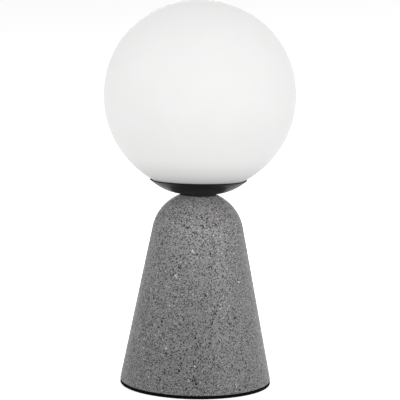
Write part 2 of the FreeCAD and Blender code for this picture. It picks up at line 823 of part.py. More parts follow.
def make_lock_washer(label, foot):
    """A toothed lock washer: a thin ring with square notches round its rim."""
    body = new_body(label)
    bore, rim, top = "tube_radius + thread_play", "lock_washer_radius", f"{foot} + lock_washer_depth"
    revolve(body, Outline(body).draw([(bore, foot), (rim, foot), (rim, top), (bore, top)]))
    root, beyond = f"{rim} - tooth_depth", f"{rim} + overrun"
    low, high = f"{foot} - overrun", f"{top} + overrun"
    notch = Outline(body, name="notch").draw([(root, low), (beyond, low), (beyond, high), (root, high)])
    pocket = body.newObject("PartDesign::Pocket", "gap")
    pocket.Profile = notch.sketch
    pocket.SideType = "Symmetric"
    bind(pocket, Length="tooth_gap")
    DOC.recompute()
    pattern(body, pocket, TOOTH_COUNT)
    return keep(body, label)


def make_bushes():
    """The plastic bushes that keep the leads off both ends of the tube."""
    body = new_body("bushes", several=True)
    skin, bore = "tube_bore - fit_gap", "bush_bore"
    for end, name, outward in (("tube_top", "upper", "+"), ("tube_foot", "lower", "-")):
        inside = "-" if outward == "+" else "+"
        under, over = f"{end} {outward} fit_gap", f"{end} {outward} bush_flange"
        tail = f"{end} {inside} bush_length"
        corners = [(bore, tail), (skin, tail), (skin, under), ("bush_flange_radius", under)]
        corners += [("bush_flange_radius", over), (bore, over)]
        revolve(body, Outline(body, name=name).draw(corners))
    keep(body, "tube_bushes")


# ---------------------------------------------------------------- saucer, gallery and globe


def make_saucer():
    """The thin pressed dish under the globe: a flat middle and sides that curve up to the rim."""
    body = new_body("saucer")
    foot = "top_height + neck_depth"
    middle = ("saucer_flat_radius", f"{foot} + saucer_bow")
    inner_bow = "saucer_bow - saucer_wall"

    def rim(bow):
        drop = value_of(f"{foot} + saucer_bow - saucer_rim_height")
        return value_of("saucer_flat_radius") + math.sqrt(value_of(bow) ** 2 - drop**2)

    outline = Outline(body)
    outline.draw(
        [
            ("tube_radius + thread_play", foot),
            ("saucer_flat_radius", value_of(foot)),
            (rim("saucer_bow"), "saucer_rim_height"),
            (rim(inner_bow), "saucer_rim_height"),
            ("saucer_flat_radius", value_of(SAUCER_FLOOR)),
            ("tube_radius + thread_play", SAUCER_FLOOR),
        ],
        {1: (middle, "saucer_bow", 1, False), 3: (middle, inner_bow, -1, False)},
    )
    revolve(body, outline)
    keep(body, "saucer")


def make_seat_gasket():
    """The silicone ring under the glass: its top follows the globe, and its foot the saucer."""
    body = new_body("seat")
    foot = "top_height + neck_depth + saucer_bow"
    ball, bowl = "globe_radius + seat_play", "saucer_bow - saucer_wall - 0.04"
    centre_globe = ("0", "globe_height")
    centre_bowl = ("saucer_flat_radius", foot)

    def on_ball(radius):
        return value_of("globe_height") - math.sqrt(value_of(ball) ** 2 - value_of(radius) ** 2)

    def on_bowl(radius):
        reach = value_of(radius) - value_of("saucer_flat_radius")
        return value_of(foot) - math.sqrt(value_of(bowl) ** 2 - reach**2)

    outline = Outline(body)
    outline.draw(
        [
            ("seat_inner_radius", on_bowl("seat_inner_radius")),
            ("seat_outer_radius", on_bowl("seat_outer_radius")),
            ("seat_outer_radius", on_ball("seat_outer_radius")),
            ("seat_inner_radius", on_ball("seat_inner_radius")),
        ],
        {0: (centre_bowl, bowl, 1, False), 2: (centre_globe, ball, -1, False)},
    )
    revolve(body, outline)
    keep(body, "seat_gasket")


def make_gallery():
    """The three-armed steel plate on the tube, with a leaf spring riveted to each arm."""
    plate = new_body("gallery")
    bore, hub, reach = "tube_radius + thread_play", "gallery_hub_radius", "gallery_reach"
    centre = [(bore, GALLERY_FOOT), (hub, GALLERY_FOOT), (hub, GALLERY_TOP), (bore, GALLERY_TOP)]
    revolve(plate, Outline(plate).draw(centre))
    root = "gallery_hub_radius - overrun"
    arm = [(root, GALLERY_FOOT), (reach, GALLERY_FOOT), (reach, GALLERY_TOP), (root, GALLERY_TOP)]
    pattern(plate, pad(plate, Outline(plate, name="arm").draw(arm), "arm_width", centred=True), CLIP_COUNT)
    place(plate, turn=CLIP_TURN)
    keep(cut(plate, *rivet_holes(GALLERY_FOOT, GALLERY_TOP)), "gallery_spider")
    make_clips()
    make_rivets()


def rivet_holes(foot, top):
    """The cutting tools for the rivets' holes through a layer between two levels."""
    low, high = f"{foot} - overrun", f"{top} + overrun"
    return [
        cylinder("rivet_radius + fit_gap", low, high, x, y)
        for ring in ("rivet_inner", "rivet_outer")
        for x, y in around(ring, CLIP_COUNT, CLIP_TURN)
    ]


def make_clips():
    """Leaf springs: a foot on the arm, an upright leg, and a nose that hooks over the edge of the glass."""
    body = new_body("clips", several=True)
    outer_side = [
        ("clip_tip_radius", f"{GALLERY_TOP} + clip_tip_rise"),
        ("clip_nose_radius", f"{GALLERY_TOP} + clip_nose_rise + clip_nose_height"),
        ("clip_nose_radius", f"{GALLERY_TOP} + clip_nose_rise"),
        ("clip_waist_radius", f"{GALLERY_TOP} + clip_waist_rise"),
        ("clip_back", f"{GALLERY_TOP} + clip_leg_rise"),
        ("clip_back", GALLERY_TOP),
        ("clip_foot", GALLERY_TOP),
    ]
    outline = Outline(body).strip(outer_side, "clip_gauge")
    pattern(body, pad(body, outline, "clip_width", centred=True), CLIP_COUNT)
    place(body, turn=CLIP_TURN)
    keep(cut(body, *rivet_holes(GALLERY_TOP, f"{GALLERY_TOP} + clip_gauge")), "clip_springs")


def make_rivets():
    """Two rivets through each clip's foot and its arm."""
    body = new_body("rivets", several=True)
    under = f"{GALLERY_FOOT} - fit_gap"
    over = f"{GALLERY_TOP} + clip_gauge + fit_gap"
    low, high = f"{under} - rivet_head", f"{over} + rivet_head"
    for axis in ("rivet_inner", "rivet_outer"):
        shank, head = f"{axis} + rivet_radius", f"{axis} + rivet_head_radius"
        corners = [(axis, low), (f"{head} - rivet_bevel", low), (head, under), (shank, under)]
        corners += [(shank, over), (head, over), (f"{head} - rivet_bevel", high), (axis, high)]
        outline = Outline(body, name=axis).draw(corners).spin_line(axis)
        pattern(body, revolve(body, outline, "Axis0"), CLIP_COUNT)
    keep(place(body, turn=CLIP_TURN), "clip_rivets")


def make_globe():
    """The blown glass ball with a ground hole in its underside."""
    body = new_body("globe")
    centre = ("0", "globe_height")
    inner = "globe_radius - globe_wall"

    def below(radius):
        return value_of("globe_height") - math.sqrt(value_of(radius) ** 2 - value_of("mouth_radius") ** 2)

    outline = Outline(body)
    outline.draw(
        [
            ("mouth_radius", below("globe_radius")),
            ("0", value_of("globe_height + globe_radius")),
            ("0", value_of(f"globe_height + {inner}")),
            ("mouth_radius", below(inner)),
        ],
        {0: (centre, "globe_radius", 1, False), 2: (centre, inner, -1, False)},
    )
    turned = revolve(body, outline)
    edges = [ring_edges(turned, str(below(ball)), "mouth_radius")[0] for ball in ("globe_radius", inner)]
    round_off(body, turned, edges, "mouth_round")
    keep(body, "glass_globe")


def make_edge_seal():
    """The silicone channel round the edge of the hole, which lifts off with the glass."""
    body = new_body("edge_seal")
    centre = ("0", "globe_height")
    play, wall = "seal_play", "seal_wall"
    under, below_glass = f"globe_radius + {play} + {wall}", f"globe_radius + {play}"
    above_glass = f"globe_radius - globe_wall - {play}"
    over = f"{above_glass} - {wall}"
    edge = "mouth_radius - seal_play"

    def level(ball, radius):
        return value_of("globe_height") - math.sqrt(value_of(ball) ** 2 - value_of(radius) ** 2)

    def arc(ball, turns):
        return (centre, ball, turns, False)

    outline = Outline(body)
    outline.draw(
        [
            ("seal_radius", level(under, "seal_radius")),
            ("seal_lip_reach", level(under, "seal_lip_reach")),
            ("seal_lip_reach", level(below_glass, "seal_lip_reach")),
            (edge, level(below_glass, edge)),
            (edge, level(above_glass, edge)),
            ("seal_lip_reach", level(above_glass, "seal_lip_reach")),
            ("seal_lip_reach", level(over, "seal_lip_reach")),
            ("seal_radius", level(over, "seal_radius")),
        ],
        {0: arc(under, 1), 2: arc(below_glass, -1), 4: arc(above_glass, 1), 6: arc(over, -1)},
    )
    revolve(body, outline)
    keep(body, "edge_seal")


# ---------------------------------------------------------------- lampholder and bulb


def make_holder():
    """The cup on the stem, and in it the bracket, the ceramic holder, its screws and its contacts."""
    cup = new_body("cup")
    bore, inside, floor = "tube_radius + thread_play", "cup_radius - cup_wall", "cup_floor_height + cup_floor"
    outline = Outline(cup)
    outline.draw(
        [
            (bore, "cup_floor_height"),
            ("cup_radius", "cup_floor_height"),
            ("cup_radius", "cup_top"),
            (inside, "cup_top"),
            (inside, floor),
            (bore, floor),
        ]
    )
    turned = revolve(cup, outline)
    round_off(cup, turned, ring_edges(turned, "cup_floor_height"), "cup_round")
    keep(cup, "holder_cup")
    make_bracket()
    hex_nut("holder_nut", f"{floor} + bracket_gauge", "nut_depth", bore)

    seat, beyond = "holder_top - holder_screw_sink", "holder_top + overrun"
    tools, screws = [], []
    for side in SIDES:
        x, y = f"{side} * pin_place", f"{side} * holder_screw_place"
        tools.append(box("slot_length", "slot_width", "slot_foot", beyond, x))
        tools.append(cylinder("lead_hole", "bracket_top - overrun", "slot_foot + overrun", x))
        tools.append(cylinder("holder_screw_radius + hole_play", "bracket_top - overrun", beyond, y=y))
        tools.append(cylinder("holder_screw_head_radius + hole_play", seat, beyond, y=y))
        shank, head = ("holder_screw_radius", "holder_screw_head_radius")
        screws.append(slotted_screw(shank, head, "holder_screw_tip", seat, "holder_screw_head", y=y))
    keep(cut(cylinder("holder_radius", "bracket_top", "holder_top"), *tools), "holder_body")
    keep(group(*screws), "holder_screws")
    make_contacts()


def make_bracket():
    """A C-shaped strip on the tube: its floor under the nut, and a tapped flange under each holder screw."""
    body = new_body("bracket")
    floor, span, end = "cup_floor_height + cup_floor", "bracket_half_span", "bracket_flange_end"
    half = [(end, "bracket_top"), (span, "bracket_top"), (span, floor)]
    mirrored = [(f"0 - {x}", z) for x, z in reversed(half)]
    outline = Outline(body, "YZ_Plane").strip(half + mirrored, "bracket_gauge")
    pad(body, outline, "bracket_width", centred=True)
    hub = cylinder("bracket_hub_radius", floor, f"{floor} + bracket_gauge")
    under, over = f"{floor} - overrun", f"{floor} + bracket_gauge + overrun"
    tools = [cylinder("tube_radius + thread_play", under, over)]
    low, high = "bracket_top - bracket_gauge - overrun", "bracket_top + overrun"
    for side in SIDES:
        tools.append(cylinder("holder_screw_radius + fit_gap", low, high, y=f"{side} * holder_screw_place"))
    keep(cut(fuse(body, hub), *tools), "holder_bracket")


def make_contacts():
    """A U-shaped spring contact in each slot, open at the top for the pin."""
    contacts = []
    for side in SIDES:
        body = new_body("contact")
        half, foot = "contact_half", "slot_foot + fit_gap"
        path = [(half, "contact_top"), (half, foot), (f"0 - {half}", foot), (f"0 - {half}", "contact_top")]
        outline = Outline(body, "YZ_Plane").strip(path, "contact_gauge")
        pad(body, outline, "contact_width", centred=True)
        contacts.append(place(body, x=f"{side} * pin_place"))
    keep(group(*contacts), "holder_contacts")


def make_bulb():
    """The plug-in capsule bulb: looped pins, a moulded base, a clear envelope and the lit board in it."""
    block = box("bulb_block_length", "bulb_block_width", "bulb_foot", "bulb_block_top")
    drum = cylinder("bulb_radius - bulb_wall / 2", "bulb_block_top", "bulb_base_top")
    root = "bulb_foot + pin_root"
    under, over = "bulb_foot - overrun", f"{root} + fit_gap"
    sockets = [
        cylinder("pin_wire + fit_gap", under, over, f"{side} * pin_place + {edge} * pin_half_width")
        for side in SIDES
        for edge in SIDES
    ]
    keep(cut(fuse(block, drum), *sockets), "bulb_base")

    body = new_body("envelope")
    inner_round, shoulder = "bulb_shoulder - bulb_wall", "bulb_radius - bulb_shoulder"
    bend, inside = "bulb_top - bulb_shoulder", "bulb_radius - bulb_wall"
    outline = Outline(body)
    outline.draw(
        [
            ("bulb_radius", "bulb_base_top"),
            ("bulb_radius", bend),
            (shoulder, "bulb_top"),
            ("0", "bulb_top"),
            ("0", "bulb_top - bulb_wall"),
            (shoulder, "bulb_top - bulb_wall"),
            (inside, bend),
            (inside, "bulb_base_top"),
        ],
        {1: (None, "bulb_shoulder", 1, False), 5: (None, inner_round, -1, False)},
    )
    revolve(body, outline)
    keep(body, "bulb_envelope")

    keep(box("board_width", "board_gauge", "bulb_base_top + fit_gap", "board_top"), "led_board")
    chips = []
    for face in SIDES:
        y = f"{face} * (board_gauge + chip_gauge + fit_gap) / 2"
        for i in range(CHIPS_PER_FACE):
            foot = f"chip_first + {i} * chip_pitch"
            chips.append(box("chip_size", "chip_gauge", foot, f"{foot} + chip_size", y=y))
    keep(group(*chips), "led_chips")
    make_bulb_pins(value_of(root))


def make_bulb_pins(top):
    """The two pins, each a loop of wire that goes down from the moulded base and back up into it."""
    foot = value_of("bulb_foot - pin_depth")
    half = value_of("pin_half_width")
    paths = []
    for side in SIDES:
        x = side * value_of("pin_place")
        left, right = V(x - half, 0, foot + half), V(x + half, 0, foot + half)
        loop = [
            Part.LineSegment(V(left.x, 0, top), left).toShape(),
            Part.Arc(left, V(x, 0, foot), right).toShape(),
            Part.LineSegment(right, V(right.x, 0, top)).toShape(),
        ]
        paths.append(Part.Wire(loop))
    swept_wire("bulb_pins", paths, value_of("pin_wire"))


# ---------------------------------------------------------------- document


def check_document():
    """Stop if any object failed, any sketch is loose, or any sub-part has no sound shape."""
    for item in DOC.Objects:
        if {"Invalid", "Error"} & set(item.State):
            raise ValueError(f"{item.Name} ({item.Label}) failed: {item.State}")
        if item.TypeId == "Sketcher::SketchObject" and not item.FullyConstrained:
            owner = item.getParentGeoFeatureGroup().Label
            raise ValueError(f"{item.Name} in {owner} isn't fully constrained")
    for item in SUBPARTS:
        shape = item.Shape
        if shape.isNull() or not shape.isValid() or not shape.Solids or shape.Volume <= 0:
            raise ValueError(f"{item.Label} has no sound shape")


def main():
    make_foot_pad()
    make_terrazzo_base()
    make_bottom_plate()
    make_plate_screws()
    make_cable_gland()
    make_terminal_block()
    make_leads()
    make_column()
    make_saucer()
    make_seat_gasket()
    make_gallery()
    make_globe()
    make_edge_seal()
    make_holder()
    make_bulb()
    DOC.recompute()
    check_document()
    os.makedirs("parts", exist_ok=True)
    for item in SUBPARTS:
        item.Shape.exportStep(f"parts/{item.Label}.step")
        print(f"{item.Label:22s} {len(item.Shape.Solids)} solid(s) {item.Shape.Volume:12.1f} mm3")


main()
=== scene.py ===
"""Table lamp: an opal glass globe in a black saucer, on a hollow domed cone of fine grey terrazzo.

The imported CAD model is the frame. The pieces that show, at rest or when the globe or the bulb is lifted,
are rebuilt here with rounded edges, bends and fine detail, in the places that the frame gives. The CAD
nodes that are closed in for good keep their shape. Every piece and node gets a material made of nodes, in
object coordinates, so that each grain, pore and brush mark has its real size. Meshes are drawn in
millimetres and scaled to metres as they are finished; materials, lights and the camera are in metres.
"""

import json
import math

import bmesh
import bpy
from mathutils import Matrix, Vector


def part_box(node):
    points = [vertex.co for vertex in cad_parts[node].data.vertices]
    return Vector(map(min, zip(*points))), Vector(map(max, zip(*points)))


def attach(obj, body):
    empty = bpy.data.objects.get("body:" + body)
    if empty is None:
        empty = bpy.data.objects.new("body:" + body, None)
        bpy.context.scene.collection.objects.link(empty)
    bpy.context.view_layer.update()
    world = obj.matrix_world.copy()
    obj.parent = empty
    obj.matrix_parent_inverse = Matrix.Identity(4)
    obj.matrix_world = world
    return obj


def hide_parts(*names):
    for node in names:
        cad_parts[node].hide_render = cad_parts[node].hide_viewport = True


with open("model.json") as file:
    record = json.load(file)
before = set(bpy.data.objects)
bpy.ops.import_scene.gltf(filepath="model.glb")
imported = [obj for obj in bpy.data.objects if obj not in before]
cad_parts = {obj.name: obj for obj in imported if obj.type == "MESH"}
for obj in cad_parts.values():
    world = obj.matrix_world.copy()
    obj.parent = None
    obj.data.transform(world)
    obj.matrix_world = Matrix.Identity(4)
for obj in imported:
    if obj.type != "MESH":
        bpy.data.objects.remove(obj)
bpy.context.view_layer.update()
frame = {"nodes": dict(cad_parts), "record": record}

MM = 0.001

# Sizes of shapes in millimetres. Where each piece lies comes from the frame.
GLOBE_WALL = 2.5
MOUTH_RADIUS = 29.0
MOUTH_ROUND = 0.6
SEAL_PLAY = 0.08
SEAL_WALL = 0.7
SEAL_BORE = 28.2
SEAL_ROUND = 0.3
SEAT_BORE = 32.6
SEAT_GAPS = (0.04, 0.1)  # to the saucer below, to the glass above
SEAT_ROUND = 0.4
SAUCER_FLAT = 10.2
SAUCER_WALL = 0.7
SAUCER_ROUND = 0.38
DOME_RADIUS = 36.6
DOME_DROP = 33.1  # from the flat on the dome down to the dome's centre
FOOT_ROUND = 1.2
TOP_ROUND = 0.9
RECESS = (46.0, 3.0)  # radius and depth
CAVITY = (36.0, 17.0, 32.3)  # radius at the foot, radius at the top, thickness of the roof over it
BASE_BORE = 5.4
PAD_ROUND = 0.5
TUBE_BORE = 5.06
SLEEVE_BORE = 5.4
GLAND_SEATS = ((5.15, 20.0, 70.0), (8.6, 55.0, 70.0), (9.0, 10.0, 39.5))  # radius, near and far end
CLIP_ANGLES = (30.0, 150.0, 270.0)
CLIP_GAUGE = 0.5
CLIP_PATH = (  # radius, and height over the gallery, from the tip to the foot
    (26.2, 13.5), (30.6, 6.8), (30.6, 5.6), (27.2, 3.4), (25.0, 2.0), (25.0, 0.0), (13.6, 0.0),
)
RIVET_PLACES = (16.4, 21.6)
PIN_PLACE = 4.5
SCREW_PLACE = 8.6
CAPSULE_FOOT = (  # half length, half width, corner radius, and height over the foot of the bulb's base
    (7.0, 3.3, 1.0, 0.0), (7.35, 3.65, 1.3, 0.15), (7.5, 3.8, 1.4, 0.5),
    (7.5, 3.8, 1.4, 4.2), (7.55, 5.2, 3.2, 4.9), (7.7, 7.0, 5.8, 5.5),
)
COLLAR_RISE = 6.2
COLLAR_TOP = ((0.5, 0.0), (0.15, 0.15), (0.0, 0.5))  # drop from the top, and step inwards

# The camera, the floor and the lights, in metres, degrees and watts.
CAMERA_PLACE = (0.0, -1.1342, 0.2656)
CAMERA_TURN = (math.radians(0.072), math.radians(-6.056), 0.0168)  # yaw, pitch and roll, in radians
CAMERA_SENSOR, CAMERA_LENS = 36.0, 130.7  # in millimetres
CAMERA_REACH = 50.0
FLOOR_RADIUS = 12.0
FLOOR_DROP = -0.0001  # keeps the floor and the foot's underside from lying in one plane
FLOOR_GLOW = 0.5
SKY = ((0.0, 0.95), (0.25, 0.64), (0.6, 0.45), (1.0, 1.0))  # sine of the height, and brightness there
SKY_ACROSS = (-1.0, 0.3, 0.96, 1.10)  # two X, and the factor on the brightness at each
SOFTBOX_SIZE = 0.5
SOFTBOX_TARGET = (0.0, 0.0, 0.1)
SOFTBOXES = (
    ("right_key", (0.9, -0.6, 0.40), 4.6),
    ("left_fill", (-0.9, -0.6, 0.40), 2.1),
    ("back_fill", (0.0, 1.05, 0.40), 4.2),
)
SPOT_PLACE, SPOT_TARGET = (-0.1, -1.25, 0.44), (-0.002, 0.0, 0.45)  # aimed high, so it fades on the base
SPOT_POWER, SPOT_ANGLE, SPOT_BLEND, SPOT_RADIUS = 56.0, 32.0, 0.35, 0.1


def span(node):
    """A CAD node's lowest and highest corners at rest, in millimetres."""
    low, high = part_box(node)
    return low / MM, high / MM


# ---------------------------------------------------------------- node materials

NOISE_REACH = (0.3, 0.7)  # most values of a noise lie in this range

# The terrazzo: sizes in metres, and tones from black to white. An edge is the two distances from a
# cell's middle, in cells, between which a grain, a chip or a pore fades in.
SAND_SIZE = 0.0007
SAND_TONES = ((0.00, 0.002), (0.26, 0.004), (0.30, 0.255), (0.90, 0.325), (0.97, 0.380), (1.00, 0.750))
SAND_EDGE, SAND_COVER = (0.78, 0.62), 0.95
CHIPS = (  # size, share of dark chips, where the share of pale ones starts, dark tone, pale tone
    (0.0014, 0.100, 0.975, 0.006, 0.72),
    (0.0032, 0.026, 0.994, 0.010, 0.64),
)
CHIP_EDGE = (0.34, 0.28)
PORE_SIZE, PORE_EDGE, PORE_TONE = 0.011, (0.075, 0.06), 0.008
# Painted light on the terrazzo: the heights, and the factor on its colour at each, paler towards the top
# and most over the dome.
PAINTED_LIGHT_HEIGHTS = (0.0, 0.150)
PAINTED_LIGHT_TONES = (
    (0.00, 0.515), (0.30, 0.55), (0.80, 0.57), (0.88, 0.63), (0.93, 0.72), (0.975, 0.79), (1.00, 0.82),
)

# The opal glass: the heights of its lowest and highest points, and the painted shade between them, which
# darkens the glass and its glow towards the bottom, where it sinks into the saucer.
GLASS_SHADE_HEIGHTS = (0.158, 0.302)
GLASS_PAINTED_SHADE = (
    (0.00, 0.36), (0.025, 0.54), (0.07, 0.75), (0.12, 0.88), (0.153, 0.93),
    (0.21, 0.945), (0.31, 0.96), (0.45, 0.985), (0.60, 1.0),
)
# the strength of the glass's painted glow: it gives off light of its own though no bulb in the scene is
# lit
GLASS_PAINTED_GLOW = 0.595
RIM_HEIGHTS = (0.1599, 0.1607)  # the cut rim of the saucer


def grey(value):
    return (value, value, value)


def stone(value):
    """The terrazzo's grey, which is very slightly pink."""
    return (value * 1.012, value * 0.988, value)


def opaque(colour):
    """A colour with full alpha. The output of a node stays as it is."""
    return colour if isinstance(colour, bpy.types.NodeSocket) else (*colour, 1.0)


class Nodes:
    """A node tree under construction, with short ways to add nodes to it."""

    def __init__(self, tree, coords):
        self.tree = tree
        self.coords = tree.nodes.new("ShaderNodeTexCoord").outputs[coords]

    def feed(self, socket, value):
        """Give a socket a value, or link it to the output of another node."""
        if isinstance(value, bpy.types.NodeSocket):
            self.tree.links.new(value, socket)
        else:
            socket.default_value = value

    def add(self, kind, inputs, **settings):
        """Add a node. Inputs go by number or by name."""
        node = self.tree.nodes.new(kind)
        for name, value in settings.items():
            setattr(node, name, value)
        for key, value in inputs.items():
            self.feed(node.inputs[key], value)
        return node

    def noise(self, size, detail=2.0, roughness=0.5, coords=None, output="Fac"):
        """Noise whose features are about a size across, in metres."""
        inputs = {"Scale": 1.0 / size, "Detail": detail, "Roughness": roughness}
        inputs["Vector"] = coords or self.coords
        return self.add("ShaderNodeTexNoise", inputs).outputs[output]

    def cloud(self, size):
        """Noise with fine detail in it, as in paste, dust or a worn skin."""
        return self.noise(size, detail=4.0, roughness=0.6)

    def cells(self, size, coords=None):
        """A Voronoi texture whose cells are about a size across, in metres."""
        return self.add("ShaderNodeTexVoronoi", {"Scale": 1.0 / size, "Vector": coords or self.coords})

    def number(self, cells, channel):
        """A number from 0 to 1 that is the same all over one cell."""
        return self.add("ShaderNodeSeparateColor", {0: cells.outputs["Color"]}).outputs[channel]

    def axes(self):
        """The three coordinates, each on its own."""
        return self.add("ShaderNodeSeparateXYZ", {0: self.coords}).outputs

    def math(self, operation, a, b):
        return self.add("ShaderNodeMath", {0: a, 1: b}, operation=operation).outputs[0]

    def span(self, value, low, high, to_low=0.0, to_high=1.0):
        """Map a value from one range to another, held inside it."""
        inputs = {0: value, 1: low, 2: high, 3: to_low, 4: to_high}
        return self.add("ShaderNodeMapRange", inputs, clamp=True).outputs[0]

    def patches(self, size, low, high, detail=3.0):
        """A value that wanders between two others in patches of a size."""
        return self.span(self.noise(size, detail), *NOISE_REACH, low, high)

    def mix(self, share, a, b, blend="MIX"):
        """Mix two colours. Each is a colour or the output of a node."""
        inputs = {0: share, 6: opaque(a), 7: opaque(b)}
        return self.add("ShaderNodeMix", inputs, data_type="RGBA", blend_type=blend).outputs[2]

    def ramp(self, value, stops, colour=grey):
        """A colour ramp. Each stop is a place and a tone, which a function turns into a colour."""
        node = self.add("ShaderNodeValToRGB", {0: value})
        elements = node.color_ramp.elements
        elements.remove(elements[1])
        for number, (place, tone) in enumerate(stops):
            element = elements.new(place) if number else elements[0]
            element.position = place
            element.color = (*colour(tone), 1.0)
        return node.outputs[0]


class Finish(Nodes):
    """A material under construction, in object coordinates."""

    def __init__(self, name):
        self.material = bpy.data.materials.new(name)
        self.material.use_nodes = True
        super().__init__(self.material.node_tree, "Object")
        self.shader = self.tree.nodes["Principled BSDF"]

    def set(self, **sockets):
        """Set sockets of the shader. A name's underscores stand for spaces."""
        for name, value in sockets.items():
            self.shader.inputs[name.replace("_", " ")].default_value = value

    def put(self, socket, source):
        """Link the output of a node to a socket of the shader."""
        self.tree.links.new(source, self.shader.inputs[socket])

    def bump(self, height, depth, strength, under=None):
        """A bump whose height runs from 0 to 1 over a depth in metres, over another bump if given."""
        node = self.add("ShaderNodeBump", {"Height": height, "Distance": depth, "Strength": strength})
        if under is not None:
            self.feed(node.inputs["Normal"], under)
        return node.outputs[0]


def terrazzo():
    """Honed cement with fine dark and pale grains, scattered larger chips, a few open pores, and painted
    light that makes it paler towards the top.
    """
    f = Finish("terrazzo")
    # the coordinates waver a little, so that no grain has straight sides
    waver = f.noise(0.0016, detail=1.0, output="Color")
    shift = f.add("ShaderNodeVectorMath", {0: waver, "Scale": 0.0005}, operation="SCALE").outputs[0]
    bent = f.add("ShaderNodeVectorMath", {0: f.coords, 1: shift}, operation="ADD").outputs[0]

    colour = f.mix(f.cloud(0.03), stone(0.182), stone(0.222))
    height = f.math("MULTIPLY", f.noise(0.0012, detail=3.0, roughness=0.6), 0.15)

    # fine sand: every cell is one grain, many of them dark and a few of them pale
    sand = f.cells(SAND_SIZE, bent)
    shades = f.ramp(f.number(sand, 0), SAND_TONES, stone)
    grain = f.span(sand.outputs["Distance"], *SAND_EDGE)
    colour = f.mix(f.math("MULTIPLY", grain, SAND_COVER), colour, shades)

    # larger chips, far apart: only cells whose own number is near one end hold a chip
    for size, low, high, dark, pale in CHIPS:
        chips = f.cells(size, bent)
        number = f.number(chips, 1)
        inside = f.span(chips.outputs["Distance"], *CHIP_EDGE)
        for kind, limit, value in (("LESS_THAN", low, dark), ("GREATER_THAN", high, pale)):
            chosen = f.math("MULTIPLY", f.math(kind, number, limit), inside)
            colour = f.mix(chosen, colour, stone(value))

    # open pores: small black pits
    open_pore = f.span(f.cells(PORE_SIZE, bent).outputs["Distance"], *PORE_EDGE)
    colour = f.mix(open_pore, colour, stone(PORE_TONE))
    height = f.math("SUBTRACT", height, open_pore)

    # painted light: the stone's colour is multiplied by a ramp that makes it paler with height, most of
    # all over its dome, standing in for light that reaches the top
    skin = f.ramp(f.span(f.axes()[2], *PAINTED_LIGHT_HEIGHTS), PAINTED_LIGHT_TONES)
    f.put("Base Color", f.mix(1.0, colour, skin, "MULTIPLY"))
    f.put("Normal", f.bump(height, depth=0.0004, strength=0.5))
    f.put("Roughness", f.patches(0.004, 0.42, 0.58))
    f.set(Specular_IOR_Level=0.35)
    return f.material


def opal_glass():
    """Acid-etched white glass, soft and milky. A painted glow keeps it evenly bright, and painted shade
    darkens it where it sinks into the saucer.
    """
    f = Finish("opal_glass")
    # painted shade: the glass is darker towards the bottom, where it sinks into the saucer
    shade = f.ramp(f.span(f.axes()[2], *GLASS_SHADE_HEIGHTS), GLASS_PAINTED_SHADE)
    milk = f.mix(f.noise(0.035, detail=3.0), (0.155, 0.155, 0.154), (0.168, 0.168, 0.167))
    # painted glow: the glass gives off light of its own, though no bulb is lit, which keeps it evenly
    # bright
    glow = f.mix(f.noise(0.05), (0.93, 0.93, 0.925), (1.0, 1.0, 0.995))
    f.put("Base Color", f.mix(1.0, milk, shade, "MULTIPLY"))
    f.put("Emission Color", f.mix(1.0, glow, shade, "MULTIPLY"))
    f.put("Roughness", f.patches(0.006, 0.4, 0.48))
    etched = f.bump(f.noise(0.0003), depth=0.00002, strength=0.25)
    f.put("Normal", f.bump(f.noise(0.03, detail=1.0), depth=0.0006, strength=0.25, under=etched))
    f.set(Subsurface_Weight=0.3, Subsurface_Radius=(1.0, 1.0, 0.95), Subsurface_Scale=0.004)
    f.set(Specular_IOR_Level=0.01, Emission_Strength=GLASS_PAINTED_GLOW)
    return f.material


def white_coat():
    """Baked white paint on steel, with a fine orange peel."""
    f = Finish("white_paint")
    f.put("Base Color", f.mix(f.cloud(0.01), (0.5, 0.5, 0.485), (0.56, 0.56, 0.545)))
    f.put("Roughness", f.patches(0.0015, 0.36, 0.46))
    f.put("Normal", f.bump(f.noise(0.0009), depth=0.00003, strength=0.5))
    f.set(Specular_IOR_Level=0.35)
    return f.material


def saucer_paint():
    """The saucer's black powder coat, which is dull along the cut rim."""
    f = Finish("saucer_paint")
    rim = f.span(f.axes()[2], *RIM_HEIGHTS)
    f.put("Base Color", f.mix(f.cloud(0.01), grey(0.0030), grey(0.0048)))
    f.put("Roughness", f.math("MAXIMUM", f.patches(0.0015, 0.34, 0.42), f.math("MULTIPLY", rim, 0.8)))
    f.put("Normal", f.bump(f.noise(0.0009), depth=0.00003, strength=0.5))
    f.set(Specular_IOR_Level=0.10)
    return f.material


def rubber(name, dark, pale, rough=(0.6, 0.8), pore=0.0004, depth=0.00006, specular=0.3):
    """Matte rubber, foam or silicone with a fine closed grain."""
    f = Finish(name)
    f.put("Base Color", f.mix(f.cloud(0.004), dark, pale))
    f.put("Roughness", f.patches(0.002, *rough, detail=2.0))
    f.put("Normal", f.bump(f.cells(pore).outputs["Distance"], depth, strength=0.5))
    f.set(Specular_IOR_Level=specular)
    return f.material


def metal(name, dark, pale, rough, grain=(0.0002, 0.0002, 0.02)):
    """Plated or turned metal. grain gives the size of a mark along X, Y and Z."""
    f = Finish(name)
    scale = tuple(0.001 / size for size in grain)
    scaled = f.add("ShaderNodeMapping", {0: f.coords, 3: scale}, vector_type="POINT").outputs[0]
    marks = f.noise(0.001, detail=3.0, roughness=0.6, coords=scaled)
    both = f.math("ADD", marks, f.cloud(0.005))
    f.put("Base Color", f.mix(f.math("MULTIPLY", both, 0.5), dark, pale))
    f.put("Roughness", f.span(both, 0.7, 1.3, *rough))
    f.put("Normal", f.bump(marks, depth=0.00001, strength=0.5))
    f.set(Metallic=1.0)
    return f.material


def plastic(name, dark, pale, rough=(0.3, 0.45)):
    """Moulded plastic with a fine spark-eroded texture."""
    f = Finish(name)
    f.put("Base Color", f.mix(f.noise(0.006, detail=3.0), dark, pale))
    f.put("Roughness", f.patches(0.0012, *rough))
    f.put("Normal", f.bump(f.noise(0.0004), depth=0.00002, strength=0.4))
    f.set(Specular_IOR_Level=0.45)
    return f.material


